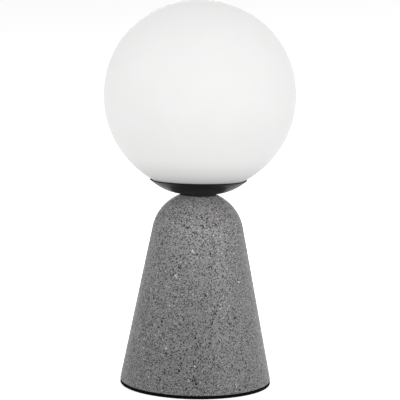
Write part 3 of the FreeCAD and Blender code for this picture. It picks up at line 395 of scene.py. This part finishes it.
def ceramic():
    """Glazed steatite: off-white with a few fine specks, under a thin clear coat."""
    f = Finish("white_ceramic")
    body = f.mix(f.noise(0.008, detail=3.0), (0.5, 0.49, 0.455), (0.58, 0.57, 0.54))
    specks = f.cells(0.0016)
    chosen = f.math("LESS_THAN", f.number(specks, 0), 0.08)
    speck = f.math("MULTIPLY", chosen, f.span(specks.outputs["Distance"], 0.16, 0.1))
    f.put("Base Color", f.mix(speck, body, (0.35, 0.31, 0.25)))
    f.put("Roughness", f.patches(0.002, 0.3, 0.42))
    f.put("Normal", f.bump(f.noise(0.0015), depth=0.00004, strength=0.4))
    f.set(Coat_Weight=0.4, Coat_Roughness=0.12)
    return f.material


def clear_glass():
    """The capsule bulb's clear envelope."""
    f = Finish("bulb_clear")
    f.put("Base Color", f.mix(f.noise(0.01), (0.80, 0.82, 0.82), (0.86, 0.87, 0.87)))
    f.put("Roughness", f.patches(0.004, 0.02, 0.06, detail=2.0))
    f.put("Normal", f.bump(f.noise(0.006, detail=1.0), depth=0.0001, strength=0.2))
    f.set(Transmission_Weight=1.0, IOR=1.46)
    return f.material


def floor_paper():
    """Plain white paper, which is bright enough to lose its edge against the surroundings."""
    f = Finish("floor_paper")
    f.put("Base Color", f.mix(f.noise(0.5, detail=3.0), (0.96, 0.96, 0.96), (0.98, 0.98, 0.98)))
    f.set(Roughness=0.9, Specular_IOR_Level=0.1)
    f.set(Emission_Color=(1.0, 1.0, 1.0, 1.0), Emission_Strength=FLOOR_GLOW)
    return f.material


# The colours are a dark and a pale end, and the pairs after them are the limits of the roughness.
MATERIALS = {
    "terrazzo": terrazzo(),
    "opal_glass": opal_glass(),
    "black_paint": saucer_paint(),
    "white_paint": white_coat(),
    "pad_foam": rubber(
        "pad_foam", grey(0.0012), grey(0.0030), (0.75, 0.95), pore=0.0007, depth=0.00012, specular=0.04
    ),
    "black_rubber": rubber("black_rubber", grey(0.006), grey(0.012)),
    "seal_silicone": rubber("seal_silicone", (0.42, 0.42, 0.4), (0.5, 0.5, 0.48), (0.35, 0.5)),
    "zinc_plate": metal("zinc_plate", (0.47, 0.48, 0.49), (0.66, 0.66, 0.66), (0.3, 0.48)),
    "zinc_steel": metal("zinc_steel", (0.5, 0.5, 0.5), (0.68, 0.68, 0.67), (0.25, 0.4)),
    "spring_steel": metal("spring_steel", (0.4, 0.4, 0.42), (0.6, 0.6, 0.61), (0.2, 0.34)),
    "turned_brass": metal(
        "turned_brass", (0.52, 0.36, 0.13), (0.74, 0.56, 0.26), (0.22, 0.38), grain=(0.02, 0.02, 0.0002)
    ),
    "contact_metal": metal("contact_metal", (0.44, 0.42, 0.38), (0.60, 0.58, 0.54), (0.18, 0.32)),
    "black_plastic": plastic("black_plastic", grey(0.012), grey(0.02), (0.38, 0.5)),
    "white_plastic": plastic("white_plastic", (0.48, 0.48, 0.46), (0.56, 0.56, 0.54)),
    "bulb_plastic": plastic("bulb_plastic", (0.5, 0.5, 0.48), (0.57, 0.57, 0.55), (0.25, 0.38)),
    "board_white": plastic("board_white", (0.5, 0.51, 0.49), (0.57, 0.58, 0.56), (0.35, 0.5)),
    "brown_insulation": plastic("brown_insulation", (0.1, 0.04, 0.018), (0.15, 0.06, 0.03)),
    "blue_insulation": plastic("blue_insulation", (0.02, 0.1, 0.36), (0.04, 0.15, 0.45)),
    "white_ceramic": ceramic(),
    "bulb_clear": clear_glass(),
    "phosphor": rubber("phosphor", (0.72, 0.48, 0.03), (0.82, 0.58, 0.06), (0.4, 0.6), pore=0.0003),
}


def dress_cad_nodes():
    """Give every CAD node the finish of its record's slot."""
    for entry in frame["record"]["subparts"]:
        piece = frame["nodes"][entry["node"]]
        if not piece.material_slots:
            piece.data.materials.append(None)
        for slot in piece.material_slots:
            slot.material = MATERIALS[entry["material_slot"]]
        for face in piece.data.polygons:
            face.use_smooth = True


# ---------------------------------------------------------------- mesh building, in millimetres

NEAR_NOTHING = 1e-6
FLAT_ENOUGH = math.radians(12)  # a corner that turns by less isn't rounded
CORNER_SHARE = 0.45  # the most of a side that a rounded corner takes up
UPRIGHT = Matrix.Rotation(math.radians(90), 4, "X")


def arc(centre_r, centre_z, radius, start, stop, count):
    """Points along an arc, with angles in degrees from the outward direction."""
    angles = [math.radians(start + (stop - start) * i / count) for i in range(count + 1)]
    return [(centre_r + radius * math.cos(a), centre_z + radius * math.sin(a)) for a in angles]


def circle(radius, x=0.0, y=0.0, count=64):
    """A closed anticlockwise loop round a centre."""
    return arc(x, y, radius, 0.0, 360.0 * (1 - 1 / count), count - 1)


def rounded_box(half_x, half_y, radius, x=0.0, y=0.0, steps=5):
    """A closed anticlockwise loop: a rectangle with rounded corners."""
    loop = []
    for turn, side_x, side_y in ((0, 1, 1), (90, -1, 1), (180, -1, -1), (270, 1, -1)):
        middle_x, middle_y = x + side_x * (half_x - radius), y + side_y * (half_y - radius)
        loop += arc(middle_x, middle_y, radius, turn, turn + 90, steps)
    return loop


def turned(loop, degrees):
    """A loop of (x, y) turned about the axis."""
    sine, cosine = math.sin(math.radians(degrees)), math.cos(math.radians(degrees))
    return [(x * cosine - y * sine, x * sine + y * cosine) for x, y in loop]


def softened(corners, radius, steps=4, closed=True):
    """A line of corners with each sharp corner rounded to a radius. Corners on the axis are kept."""
    out, count = [], len(corners)
    for i, corner in enumerate(corners):
        before, after = Vector(corners[i - 1]), Vector(corners[(i + 1) % count])
        here = Vector(corner)
        come, leave = here - before, after - here
        end = not closed and i in (0, count - 1)
        shortest = min(come.length, leave.length, abs(here.x))
        if end or shortest < NEAR_NOTHING or come.angle(leave) < FLAT_ENOUGH:
            out.append(tuple(here))
            continue
        room = CORNER_SHARE * min(come.length, leave.length)
        back = min(radius * math.tan(come.angle(leave) / 2), room)
        first, last = here - come.normalized() * back, here + leave.normalized() * back
        for step in range(steps + 1):
            t = step / steps
            out.append(tuple((1 - t) ** 2 * first + 2 * t * (1 - t) * here + t**2 * last))
    return out


def inset(loop, depth):
    """A closed anticlockwise loop moved inwards by a depth."""
    out = []
    for i, corner in enumerate(loop):
        before, here, after = Vector(loop[i - 1]), Vector(corner), Vector(loop[(i + 1) % len(loop)])
        come, leave = (here - before).normalized(), (after - here).normalized()
        inward = Vector((-come.y - leave.y, come.x + leave.x))
        out.append(tuple(here + inward * (2 * depth / inward.length_squared)))
    return out


def skin(maker, rings, ends=True):
    """Join closed rings of points, each as many as the last, and close the two ends."""
    made = [[maker.verts.new(point) for point in ring] for ring in rings]
    for ring, after in zip(made, made[1:]):
        for i in range(len(ring)):
            j = (i + 1) % len(ring)
            maker.faces.new((ring[i], ring[j], after[j], after[i]))
    if ends:
        maker.faces.new(made[0])
        maker.faces.new(made[-1])
    return made


def slab(maker, outline, holes, low, high, rounding, steps=3):
    """A flat plate with holes through it, its edges rounded, between two levels."""
    quarter = [math.pi / 2 * i / steps for i in range(steps + 1)]
    bends = [(rounding * (1 - math.sin(a)), low + rounding * (1 - math.cos(a))) for a in quarter]
    bends += [(depth, low + high - level) for depth, level in reversed(bends)]
    rims = [], []
    for loop, side in [(outline, 1)] + [(hole, -1) for hole in holes]:
        rings = [[(x, y, level) for x, y in inset(loop, side * depth)] for depth, level in bends]
        made = skin(maker, rings, ends=False)
        for rim, ring in zip(rims, (made[0], made[-1])):
            rim += [maker.edges.get(pair) for pair in zip(ring, ring[1:] + ring[:1])]
    for rim in rims:
        bmesh.ops.triangle_fill(maker, use_beauty=True, edges=rim, normal=(0, 0, 1))
    return maker


def block(maker, half_x, half_y, low, high, rounding, x=0.0, y=0.0):
    """A solid block with rounded edges. Its upright corners are half as round again."""
    return slab(maker, rounded_box(half_x, half_y, rounding * 1.5, x, y), [], low, high, rounding)


def lathe_into(maker, profile, segments, matrix=None):
    """Revolve a closed profile of (radius, height) about Z. Returns its rings."""
    rings = []
    for radius, height in profile:
        loop = circle(radius, count=segments) if radius > NEAR_NOTHING else [(0.0, 0.0)]
        rings.append([maker.verts.new((x, y, height)) for x, y in loop])
    for ring, after in zip(rings, rings[1:] + rings[:1]):
        for i in range(segments if len(ring) + len(after) > 2 else 0):
            j = (i + 1) % segments
            here, there = [ring[k % len(ring)] for k in (i, j)], [after[k % len(after)] for k in (j, i)]
            maker.faces.new(list(dict.fromkeys(here + there)))
    if matrix:
        bmesh.ops.transform(maker, matrix=matrix, verts=[v for ring in rings for v in ring])
    return rings


def keep_sharp(maker, degrees):
    """Shade smooth, but keep the edges sharp where the faces turn by more than an angle."""
    for edge in maker.edges:
        edge.smooth = len(edge.link_faces) == 2 and edge.calc_face_angle(0.0) < math.radians(degrees)
    for face in maker.faces:
        face.smooth = True


def put_in_scene(name, data):
    thing = bpy.data.objects.new(name, data)
    bpy.context.scene.collection.objects.link(thing)
    return thing


def make_object(name, maker):
    """Turn a bmesh in millimetres into an object in metres."""
    mesh = bpy.data.meshes.new(name)
    bmesh.ops.recalc_face_normals(maker, faces=maker.faces)
    bmesh.ops.scale(maker, vec=(MM, MM, MM), verts=maker.verts)
    maker.to_mesh(mesh)
    maker.free()
    return put_in_scene(name, mesh)


def cut_away(piece, cutters):
    """Subtract closed bmeshes from a piece."""
    tools = [make_object("cutter", maker) for maker in cutters]
    for tool in tools:
        cut = piece.modifiers.new("cut", "BOOLEAN")
        cut.operation, cut.object, cut.solver = "DIFFERENCE", tool, "EXACT"
    bpy.context.view_layer.update()
    graph = bpy.context.evaluated_depsgraph_get()
    mesh = bpy.data.meshes.new_from_object(piece.evaluated_get(graph))
    piece.modifiers.clear()
    piece.data = mesh
    for tool in tools:
        bpy.data.objects.remove(tool)


def finish_piece(name, maker, slot, body, nodes=(), sharp=40.0, cutters=()):
    """Make a piece: cut with each cutter, shade, and give it its material, body and CAD nodes."""
    piece = make_object(name, maker)
    if cutters:
        cut_away(piece, cutters)
    shading = bmesh.new()
    shading.from_mesh(piece.data)
    keep_sharp(shading, sharp)
    shading.to_mesh(piece.data)
    shading.free()
    piece.data.materials.append(MATERIALS[slot])
    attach(piece, body)
    if nodes:
        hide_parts(*nodes)


def lathe(name, profile, slot, body, nodes, segments, sharp=40.0, matrix=None, cutters=()):
    """Make a revolved piece."""
    maker = bmesh.new()
    lathe_into(maker, profile, segments, matrix)
    finish_piece(name, maker, slot, body, nodes, sharp, cutters)


# ---------------------------------------------------------------- globe, saucer and base


def globe_centre():
    """The height of the middle of the globe, and its radius."""
    _, high = span("glass_globe")
    return high.z - high.x, high.x


def saucer_bow():
    """The height of the centre of the saucer's section, and its radius outside."""
    low, high = span("saucer")
    run, rise = high.x - SAUCER_FLAT, high.z - low.z
    bow = (run**2 + rise**2) / (2 * rise)
    return low.z + bow, bow


def make_globe():
    """The blown ball, with its wall and the ground edge of its hole."""
    centre, radius = globe_centre()
    inner = radius - GLOBE_WALL
    stops = [-math.degrees(math.acos(MOUTH_RADIUS / ball)) for ball in (radius, inner)]
    outside = arc(0, centre, radius, stops[0], 90, count=110)
    inside = arc(0, centre, inner, 90, stops[1], count=80)
    outside[-1], inside[0] = (0.0, centre + radius), (0.0, centre + inner)
    profile = softened(outside + inside, MOUTH_ROUND, steps=5)
    lathe("opal_globe", profile, "opal_glass", "globe", ["glass_globe"], segments=192)


def make_edge_seal():
    """The silicone channel round the edge of the glass, which lifts off with it."""
    centre, radius = globe_centre()
    _, high = span("edge_seal")
    outer, inner = radius + SEAL_PLAY, radius - GLOBE_WALL - SEAL_PLAY
    over, under, groove = outer + SEAL_WALL, inner - SEAL_WALL, MOUTH_RADIUS - SEAL_PLAY
    places = (
        (over, SEAL_BORE), (over, high.x), (outer, high.x), (outer, groove),
        (inner, groove), (inner, high.x), (under, high.x), (under, SEAL_BORE),
    )
    corners = [(reach, centre - math.sqrt(ball**2 - reach**2)) for ball, reach in places]
    profile = softened(corners, SEAL_ROUND)
    lathe("glass_edge_seal", profile, "seal_silicone", "globe", ["edge_seal"], segments=160, sharp=50)


def make_saucer():
    """The pressed dish, with its rim rounded over."""
    low, high = span("saucer")
    centre, bow = saucer_bow()
    inner = bow - SAUCER_WALL
    stops = [-math.degrees(math.asin((centre - high.z) / radius)) for radius in (bow, inner)]
    outside = arc(SAUCER_FLAT, centre, bow, -90, stops[0], count=48)
    inside = arc(SAUCER_FLAT, centre, inner, stops[1], -90, count=48)
    profile = [(TUBE_BORE, low.z), *outside, *inside, (TUBE_BORE, low.z + SAUCER_WALL)]
    profile = softened(profile, SAUCER_ROUND, steps=5)
    lathe("saucer_dish", profile, "black_paint", "base", ["saucer"], segments=192, sharp=30)


def make_seat_gasket():
    """The silicone ring that the glass rests on: its top follows the globe and its foot the saucer."""
    centre, radius = globe_centre()
    middle, bow = saucer_bow()
    _, high = span("seat_gasket")
    bowl, ball = bow - SAUCER_WALL - SEAT_GAPS[0], radius + SEAT_GAPS[1]

    def on_bowl(reach):
        return (reach, middle - math.sqrt(bowl**2 - (reach - SAUCER_FLAT) ** 2))

    def on_ball(reach):
        return (reach, centre - math.sqrt(ball**2 - reach**2))

    corners = [on_bowl(SEAT_BORE), on_bowl(high.x), on_ball(high.x), on_ball(SEAT_BORE)]
    profile = softened(corners, SEAT_ROUND)
    lathe("globe_seat_ring", profile, "seal_silicone", "base", ["seat_gasket"], segments=160, sharp=50)


def base_profile():
    """The section of the cast base. Its side touches both the dome's circle and the round at its foot."""
    low, high = span("terrazzo_base")
    dome = Vector((0.0, high.z - DOME_DROP))
    foot = Vector((high.x - FOOT_ROUND, low.z + FOOT_ROUND))
    way = foot - dome
    touch = math.atan2(way.y, way.x) + math.acos((DOME_RADIUS - FOOT_ROUND) / way.length)
    crown = math.degrees(math.asin(DOME_DROP / DOME_RADIUS))
    top = arc(*dome, DOME_RADIUS, crown, math.degrees(touch), count=48)
    lip = arc(*foot, FOOT_ROUND, math.degrees(touch), -90, count=10)
    start, end, bands = Vector(top[-1]), Vector(lip[0]), 24
    side = [tuple(start.lerp(end, i / bands)) for i in range(1, bands)]
    ledge, roof = low.z + RECESS[1], high.z - CAVITY[2]
    under = [(RECESS[0], low.z), (RECESS[0], ledge), (CAVITY[0], ledge), (CAVITY[1], roof)]
    under.append((BASE_BORE, roof))
    return softened([(BASE_BORE, high.z), *top, *side, *lip, *under], TOP_ROUND)


def make_terrazzo_base():
    """The cast cone and dome, hollow from below, with the gland's hole and seats in its back."""
    cutters = []
    for radius, near, far in GLAND_SEATS:
        maker = bmesh.new()
        section = [(0, near), (radius, near), (radius, far), (0, far)]
        lathe_into(maker, section, segments=64, matrix=gland_place())
        cutters.append(maker)
    lathe(
        "terrazzo_body", base_profile(), "terrazzo", "base", ["terrazzo_base"],
        segments=192, sharp=35, cutters=cutters,
    )


def make_pad():
    """The foam disc under the base."""
    low, high = span("base_pad")
    corners = [(0.0, low.z), (high.x, low.z), (high.x, high.z), (0.0, high.z)]
    profile = softened(corners, PAD_ROUND, steps=5)
    lathe("foot_pad", profile, "pad_foam", "base", ["base_pad"], segments=160, sharp=50)


def make_ring(name, node, bore, rounding, slot):
    """A plain ring or sleeve with rounded edges, in place of a node of the base."""
    low, high = span(node)
    corners = [(bore, low.z), (high.x, low.z), (high.x, high.z), (bore, high.z)]
    lathe(name, softened(corners, rounding), slot, "base", [node], segments=128, sharp=50)


# ---------------------------------------------------------------- cable gland


def gland_place():
    """Turns what is drawn upright to point to the back, on the gland's axis."""
    low, high = span("cable_gland")
    return Matrix.Translation((0, 0, (low.z + high.z) / 2)) @ Matrix.Rotation(math.radians(-90), 4, "X")


def make_gland():
    """The flanged gland, with grip notches round its flange, and the rubber seal in it."""
    low, high = span("cable_gland")
    flange, face = high.x, high.y
    bore, shank, back, rounding = 4.2, 5.0, face - 2.0, 0.6
    edge, notch, notch_every = 0.7, 0.3, 5  # how near the rim, how deep, and at every which point
    corners = [(bore, face), (bore, low.y), (shank, low.y), (shank, back), (flange, back), (flange, face)]
    maker = bmesh.new()
    for ring in lathe_into(maker, softened(corners, rounding), segments=120):
        reach = ring[0].co.x
        for vertex in ring[::notch_every] if reach > flange - edge else []:
            vertex.co.xy *= (reach - notch) / reach
    bmesh.ops.transform(maker, matrix=gland_place(), verts=maker.verts)
    finish_piece("gland_body", maker, "black_plastic", "base", ["cable_gland"], sharp=28)

    low, high = span("gland_seal")
    mouth, sleeve, lip, chamfer, rounding = 3.2, 4.17, high.x, 0.3, 0.25
    corners = [(mouth, low.y), (sleeve, low.y), (sleeve, face), (lip, face), (lip - chamfer, high.y)]
    profile = softened([*corners, (mouth, high.y)], rounding)
    lathe(
        "gland_lip", profile, "black_rubber", "base", ["gland_seal"],
        segments=96, sharp=50, matrix=gland_place(),
    )


# ---------------------------------------------------------------- gallery and clips


def make_gallery():
    """The three-armed plate, blanked from sheet with rounded arms and soft corners between them."""
    low, high = span("gallery_spider")
    reach, half, hub = -low.y, 5.0, 12.0
    corner, rounding = 1.8, 0.15
    start = math.degrees(math.asin(half / hub))
    root = hub * math.cos(math.radians(start))
    arm = [(root, -half), (reach, -half), (reach, half), (root, half)]
    arm += arc(0, 0, hub, start + 10, 110 - start, count=12)  # the hub's edge, up to the next arm
    outline = [spot for angle in CLIP_ANGLES for spot in turned(arm, angle)]
    maker = slab(bmesh.new(), softened(outline, corner), [circle(TUBE_BORE)], low.z, high.z, rounding)
    finish_piece("gallery_plate", maker, "zinc_plate", "base", ["gallery_spider"], sharp=35)


def make_clips():
    """Leaf springs with bent corners. Each narrows towards the tip that guides the glass on."""
    _, gallery = span("gallery_spider")
    full, narrowing, narrowing_run = 4.0, 1.5, 5.0
    bend, rounding = 1.4, 0.12
    path = softened(CLIP_PATH, bend, steps=6, closed=False)
    maker = bmesh.new()
    for angle in CLIP_ANGLES:
        rings, run = [], 0.0
        for i, spot in enumerate(path):
            here, before = Vector(spot), Vector(path[max(i - 1, 0)])
            run += (here - before).length
            way = (Vector(path[min(i + 1, len(path) - 1)]) - before).normalized()
            half = full - narrowing * max(0.0, 1 - run / narrowing_run) ** 2
            section = rounded_box(CLIP_GAUGE / 2, half, rounding, x=-CLIP_GAUGE / 2, steps=2)
            rings.append([(here.x - way.y * u, v, gallery.z + here.y + way.x * u) for u, v in section])
        made = skin(maker, rings)
        verts = [vertex for ring in made for vertex in ring]
        bmesh.ops.transform(maker, matrix=Matrix.Rotation(math.radians(angle), 4, "Z"), verts=verts)
    finish_piece("leaf_springs", maker, "spring_steel", "base", ["clip_springs"], sharp=35)


def make_rivets():
    """Round-headed rivets through each clip's foot and its arm."""
    low, high = span("gallery_spider")
    head, rise, shank, play = 2.2, 0.8, 1.2, 0.03
    under, over = low.z - play, high.z + CLIP_GAUGE + play
    bands = 6
    angles = [math.radians(90 * i / bands) for i in range(bands + 1)]
    lower = [(head * math.sin(a), under - rise * math.cos(a)) for a in angles]
    upper = [(head * math.cos(a), over + rise * math.sin(a)) for a in angles]
    maker = bmesh.new()
    for angle in CLIP_ANGLES:
        for place in RIVET_PLACES:
            matrix = Matrix.Rotation(math.radians(angle), 4, "Z") @ Matrix.Translation((place, 0, 0))
            profile = [*lower, (shank, under), (shank, over), *upper]
            lathe_into(maker, profile, segments=32, matrix=matrix)
    finish_piece("spring_rivets", maker, "zinc_steel", "base", ["clip_rivets"], sharp=50)


# ---------------------------------------------------------------- lampholder


def make_cup():
    """The spun cup round the lampholder, with two rolled beads and a rounded rim."""
    low, high = span("holder_cup")
    wall, bottom, chamfer, rounding = 0.8, 1.0, 1.2, 0.9
    beads = (21.5, 4.5)  # how far under the rim each bead lies
    bead = ((-1.3, 0.0), (-0.5, 0.4), (0.5, 0.4), (1.3, 0.0))  # height about its middle, and depth
    inner, floor = high.x - wall, low.z + bottom
    corners = [(TUBE_BORE, low.z), (high.x - chamfer, low.z), (high.x, low.z + chamfer)]
    for drop in beads:
        corners += [(high.x - depth, high.z - drop + rise) for rise, depth in bead]
    corners += [(high.x, high.z), (inner, high.z), (inner, floor), (TUBE_BORE, floor)]
    profile = softened(corners, rounding)
    lathe("holder_shell", profile, "white_paint", "base", ["holder_cup"], segments=128)


def make_ceramic():
    """The ceramic body, with rounded mouths to its two slots and its screw wells."""
    low, high = span("holder_body")
    slot_x, slot_y, slot_corner = 2.4, 1.3, 0.5
    well, rounding = 2.85, 0.4
    holes = [rounded_box(slot_x, slot_y, slot_corner, x=side * PIN_PLACE) for side in (-1, 1)]
    holes += [circle(well, y=side * SCREW_PLACE, count=40) for side in (-1, 1)]
    maker = slab(bmesh.new(), circle(high.x, count=120), holes, low.z, high.z, rounding, steps=4)
    finish_piece("ceramic_body", maker, "white_ceramic", "base", ["holder_body"])


def make_holder_screws():
    """Round-topped screws with a driver's slot."""
    low, high = span("holder_screws")
    shank, head, crown, rounding = 1.45, 2.7, 1.9, 0.5
    slot_x, slot_y, slot_depth, slot_corner = 4.0, 0.35, 0.8, 0.05
    seat, shoulder = high.z - 2.0, high.z - 0.6
    corners = [(0.0, low.z), (shank, low.z), (shank, seat), (head, seat), (head, shoulder)]
    corners += [(crown, high.z), (0.0, high.z)]
    maker, slots = bmesh.new(), bmesh.new()
    for side in (-1, 1):
        place = Matrix.Translation((0, side * SCREW_PLACE, 0))
        lathe_into(maker, softened(corners, rounding), segments=48, matrix=place)
        bottom, over = high.z - slot_depth, high.z + 1.0
        block(slots, slot_x, slot_y, bottom, over, slot_corner, y=side * SCREW_PLACE)
    nodes = ["holder_screws"]
    finish_piece("clamp_screws", maker, "zinc_steel", "base", nodes, sharp=35, cutters=[slots])


# ---------------------------------------------------------------- capsule bulb

# What is soldered to the board. A block is its half length, its half width and its height.
CHIP_ROWS = 4
CHIP_CORNER = 0.2
CHIP_FRAME = ((0.0, 0.0), (0.0, 0.44), (0.08, 0.52), (0.27, 0.52), (0.32, 0.44))  # step in, and height
CHIP_LENS = ((0.34, 0.4), (0.34, 0.52), (0.5, 0.62), (0.9, 0.69))
CHIP_JOINT, CHIP_JOINT_STEP = (0.16, 1.1, 0.28), 0.12
DRIVER_RISE = 1.9
DRIVER, DRIVER_LEG, DRIVER_LEG_PLACE = (2.1, 1.2, 1.2), (0.35, 0.35, 0.2), (1.4, 1.35)
RESISTOR, RESISTOR_PLACE = (0.65, 0.6, 0.5), 2.2
RESISTOR_END, RESISTOR_END_PLACE = (0.22, 0.62, 0.5), 0.85
BLOCK_ROUND = 0.08


def make_bulb_base():
    """The moulded base: a block over the pins that swells into a round collar."""
    low, high = span("bulb_base")
    collar, gap = high.x, 0.1  # the gap keeps the round corners from meeting
    sizes = [*CAPSULE_FOOT, (collar, collar, collar - gap, COLLAR_RISE)]
    rings = [[(x, y, low.z + rise) for x, y in rounded_box(a, b, r, steps=8)] for a, b, r, rise in sizes]
    for drop, step in COLLAR_TOP:
        reach = collar - step
        loop = rounded_box(reach, reach, reach - gap, steps=8)
        rings.append([(x, y, high.z - drop) for x, y in loop])
    maker = bmesh.new()
    skin(maker, rings)
    finish_piece("capsule_base", maker, "bulb_plastic", "bulb", ["bulb_base"])


def make_envelope():
    """The clear envelope: a straight wall under a rounded top."""
    low, high = span("bulb_envelope")
    wall, shoulder = 0.8, 6.5
    place = (high.x - shoulder, high.z - shoulder)
    outside = [*arc(*place, shoulder, 0, 90, count=16), (0.0, high.z)]
    inside = [(0.0, high.z - wall), *arc(*place, shoulder - wall, 90, 0, count=16)]
    corners = [(high.x - wall, low.z), (high.x, low.z), *outside, *inside]
    lathe("capsule_envelope", corners, "bulb_clear", "bulb", ["bulb_envelope"], segments=96)


def make_board():
    """The bulb's circuit board, with its framed chips, solder, and the driver parts at its foot."""
    low, high = span("led_board")
    corner, rounding = 0.5, 0.1
    outline = rounded_box(high.x, (high.z - low.z) / 2, corner, y=(high.z + low.z) / 2)
    maker = slab(bmesh.new(), outline, [], low.y, high.y, rounding)
    bmesh.ops.transform(maker, matrix=UPRIGHT, verts=maker.verts)
    finish_piece("circuit_board", maker, "board_white", "bulb", ["led_board"])

    first, last = span("led_chips")
    half = last.x
    pitch = (last.z - first.z - 2 * half) / (CHIP_ROWS - 1)
    frames, lenses, solder, parts = (bmesh.new() for _ in range(4))
    for face in (-1, 1):
        surface = Matrix.Rotation(math.radians(face * -90), 4, "X")
        surface = Matrix.Translation((0, face * high.y, 0)) @ surface
        for i in range(CHIP_ROWS):
            place = Matrix.Translation((0, 0, first.z + half + i * pitch)) @ surface
            draw_chip(frames, lenses, half, place)
            for side in (-1, 1):
                draw_block(solder, *CHIP_JOINT, place, x=side * (half + CHIP_JOINT_STEP))
        foot = Matrix.Translation((0, 0, low.z + DRIVER_RISE)) @ surface
        if face < 0:
            draw_driver(parts, solder, foot)
        else:
            draw_resistors(parts, solder, foot)
    finish_piece("chip_frames", frames, "bulb_plastic", "bulb")
    finish_piece("chip_lenses", lenses, "phosphor", "bulb", ["led_chips"], sharp=50)
    finish_piece("solder_joints", solder, "contact_metal", "bulb")
    finish_piece("driver_parts", parts, "black_plastic", "bulb")


def draw_block(maker, half_x, half_y, height, place, x=0.0, y=0.0):
    """One small block with rounded edges on a surface."""
    loose = block(bmesh.new(), half_x, half_y, 0.0, height, BLOCK_ROUND, x, y)
    bmesh.ops.transform(loose, matrix=place, verts=loose.verts)
    mesh = bpy.data.meshes.new("part")
    loose.to_mesh(mesh)
    loose.free()
    maker.from_mesh(mesh)
    bpy.data.meshes.remove(mesh)


def draw_chip(frames, lenses, half, place):
    """One chip on a surface: a raised frame round a slightly domed pad of phosphor."""
    for maker, sizes in ((frames, CHIP_FRAME), (lenses, CHIP_LENS)):
        rings = []
        for step, level in sizes:
            loop = rounded_box(half - step, half - step, CHIP_CORNER, steps=3)
            rings.append([(x, y, level) for x, y in loop])
        made = skin(maker, rings)
        bmesh.ops.transform(maker, matrix=place, verts=[vertex for ring in made for vertex in ring])


def draw_driver(parts, solder, foot):
    """The driver at the foot of the board, with its four soldered legs."""
    draw_block(parts, *DRIVER, foot)
    across, along = DRIVER_LEG_PLACE
    for x in (-across, across):
        for y in (-along, along):
            draw_block(solder, *DRIVER_LEG, foot, x=x, y=y)


def draw_resistors(parts, solder, foot):
    """The two resistors at the foot of the board, each with its two soldered ends."""
    for x in (-RESISTOR_PLACE, RESISTOR_PLACE):
        draw_block(parts, *RESISTOR, foot, x=x)
        for end in (-RESISTOR_END_PLACE, RESISTOR_END_PLACE):
            draw_block(solder, *RESISTOR_END, foot, x=x + end)


# ---------------------------------------------------------------- camera, floor and light


def make_camera():
    """The photograph's viewpoint: straight on, from a little above, with a slight roll."""
    data = bpy.data.cameras.new("camera")
    camera = put_in_scene("camera", data)
    data.sensor_width, data.lens, data.clip_end = CAMERA_SENSOR, CAMERA_LENS, CAMERA_REACH
    yaw, pitch, roll = CAMERA_TURN
    level = math.cos(pitch)
    forward = Vector((math.sin(yaw) * level, math.cos(yaw) * level, math.sin(pitch)))
    level_right = forward.cross(Vector((0, 0, 1))).normalized()
    level_up = level_right.cross(forward)
    right = math.cos(roll) * level_right + math.sin(roll) * level_up
    up = math.cos(roll) * level_up - math.sin(roll) * level_right
    turn = Matrix((right, up, -forward)).transposed().to_4x4()
    camera.matrix_world = Matrix.Translation(CAMERA_PLACE) @ turn
    bpy.context.scene.camera = camera


def make_floor():
    """A plain pale floor."""
    maker = bmesh.new()
    bmesh.ops.create_circle(maker, cap_ends=True, segments=96, radius=FLOOR_RADIUS / MM)
    floor = make_object("floor", maker)
    floor.location.z = FLOOR_DROP
    floor.data.materials.append(floor_paper())


def add_light(name, kind, place, target, power):
    """Add a light that points at a target. Returns its settings."""
    light = bpy.data.lights.new(name, kind)
    light.energy = power
    lamp = put_in_scene(name, light)
    lamp.location = place
    lamp.rotation_euler = (Vector(target) - Vector(place)).to_track_quat("-Z", "Y").to_euler()
    return light


def make_surroundings():
    """White surroundings, brightest near the horizon and overhead, and a little brighter on the right."""
    world = bpy.data.worlds.new("surroundings")
    world.use_nodes = True
    bpy.context.scene.world = world
    sky = Nodes(world.node_tree, "Generated")
    across, _, up = sky.axes()
    brightness = sky.math("MULTIPLY", sky.ramp(up, SKY), sky.span(across, *SKY_ACROSS))
    background = sky.tree.nodes["Background"]
    sky.feed(background.inputs["Color"], (1.0, 1.0, 1.0, 1.0))
    sky.feed(background.inputs["Strength"], brightness)


def make_lights():
    """Low soft boxes on the right, on the left and behind, and a front spot on the globe."""
    for name, place, power in SOFTBOXES:
        light = add_light(name, "AREA", place, SOFTBOX_TARGET, power)
        light.shape, light.size = "DISK", SOFTBOX_SIZE
    light = add_light("globe_front", "SPOT", SPOT_PLACE, SPOT_TARGET, SPOT_POWER)
    light.spot_size, light.spot_blend = math.radians(SPOT_ANGLE), SPOT_BLEND
    light.shadow_soft_size = SPOT_RADIUS


bpy.context.scene.view_settings.view_transform = "Standard"
make_camera()
dress_cad_nodes()
make_globe()
make_edge_seal()
make_saucer()
make_seat_gasket()
make_terrazzo_base()
make_pad()
make_ring("neck_ring", "neck_gasket", bore=TUBE_BORE, rounding=0.25, slot="black_rubber")
make_gland()
make_gallery()
make_clips()
make_rivets()
make_ring("stem_tube", "stem_sleeve", bore=SLEEVE_BORE, rounding=0.3, slot="white_paint")
make_cup()
make_ceramic()
make_holder_screws()
make_bulb_base()
make_envelope()
make_board()
make_floor()
make_surroundings()
make_lights()
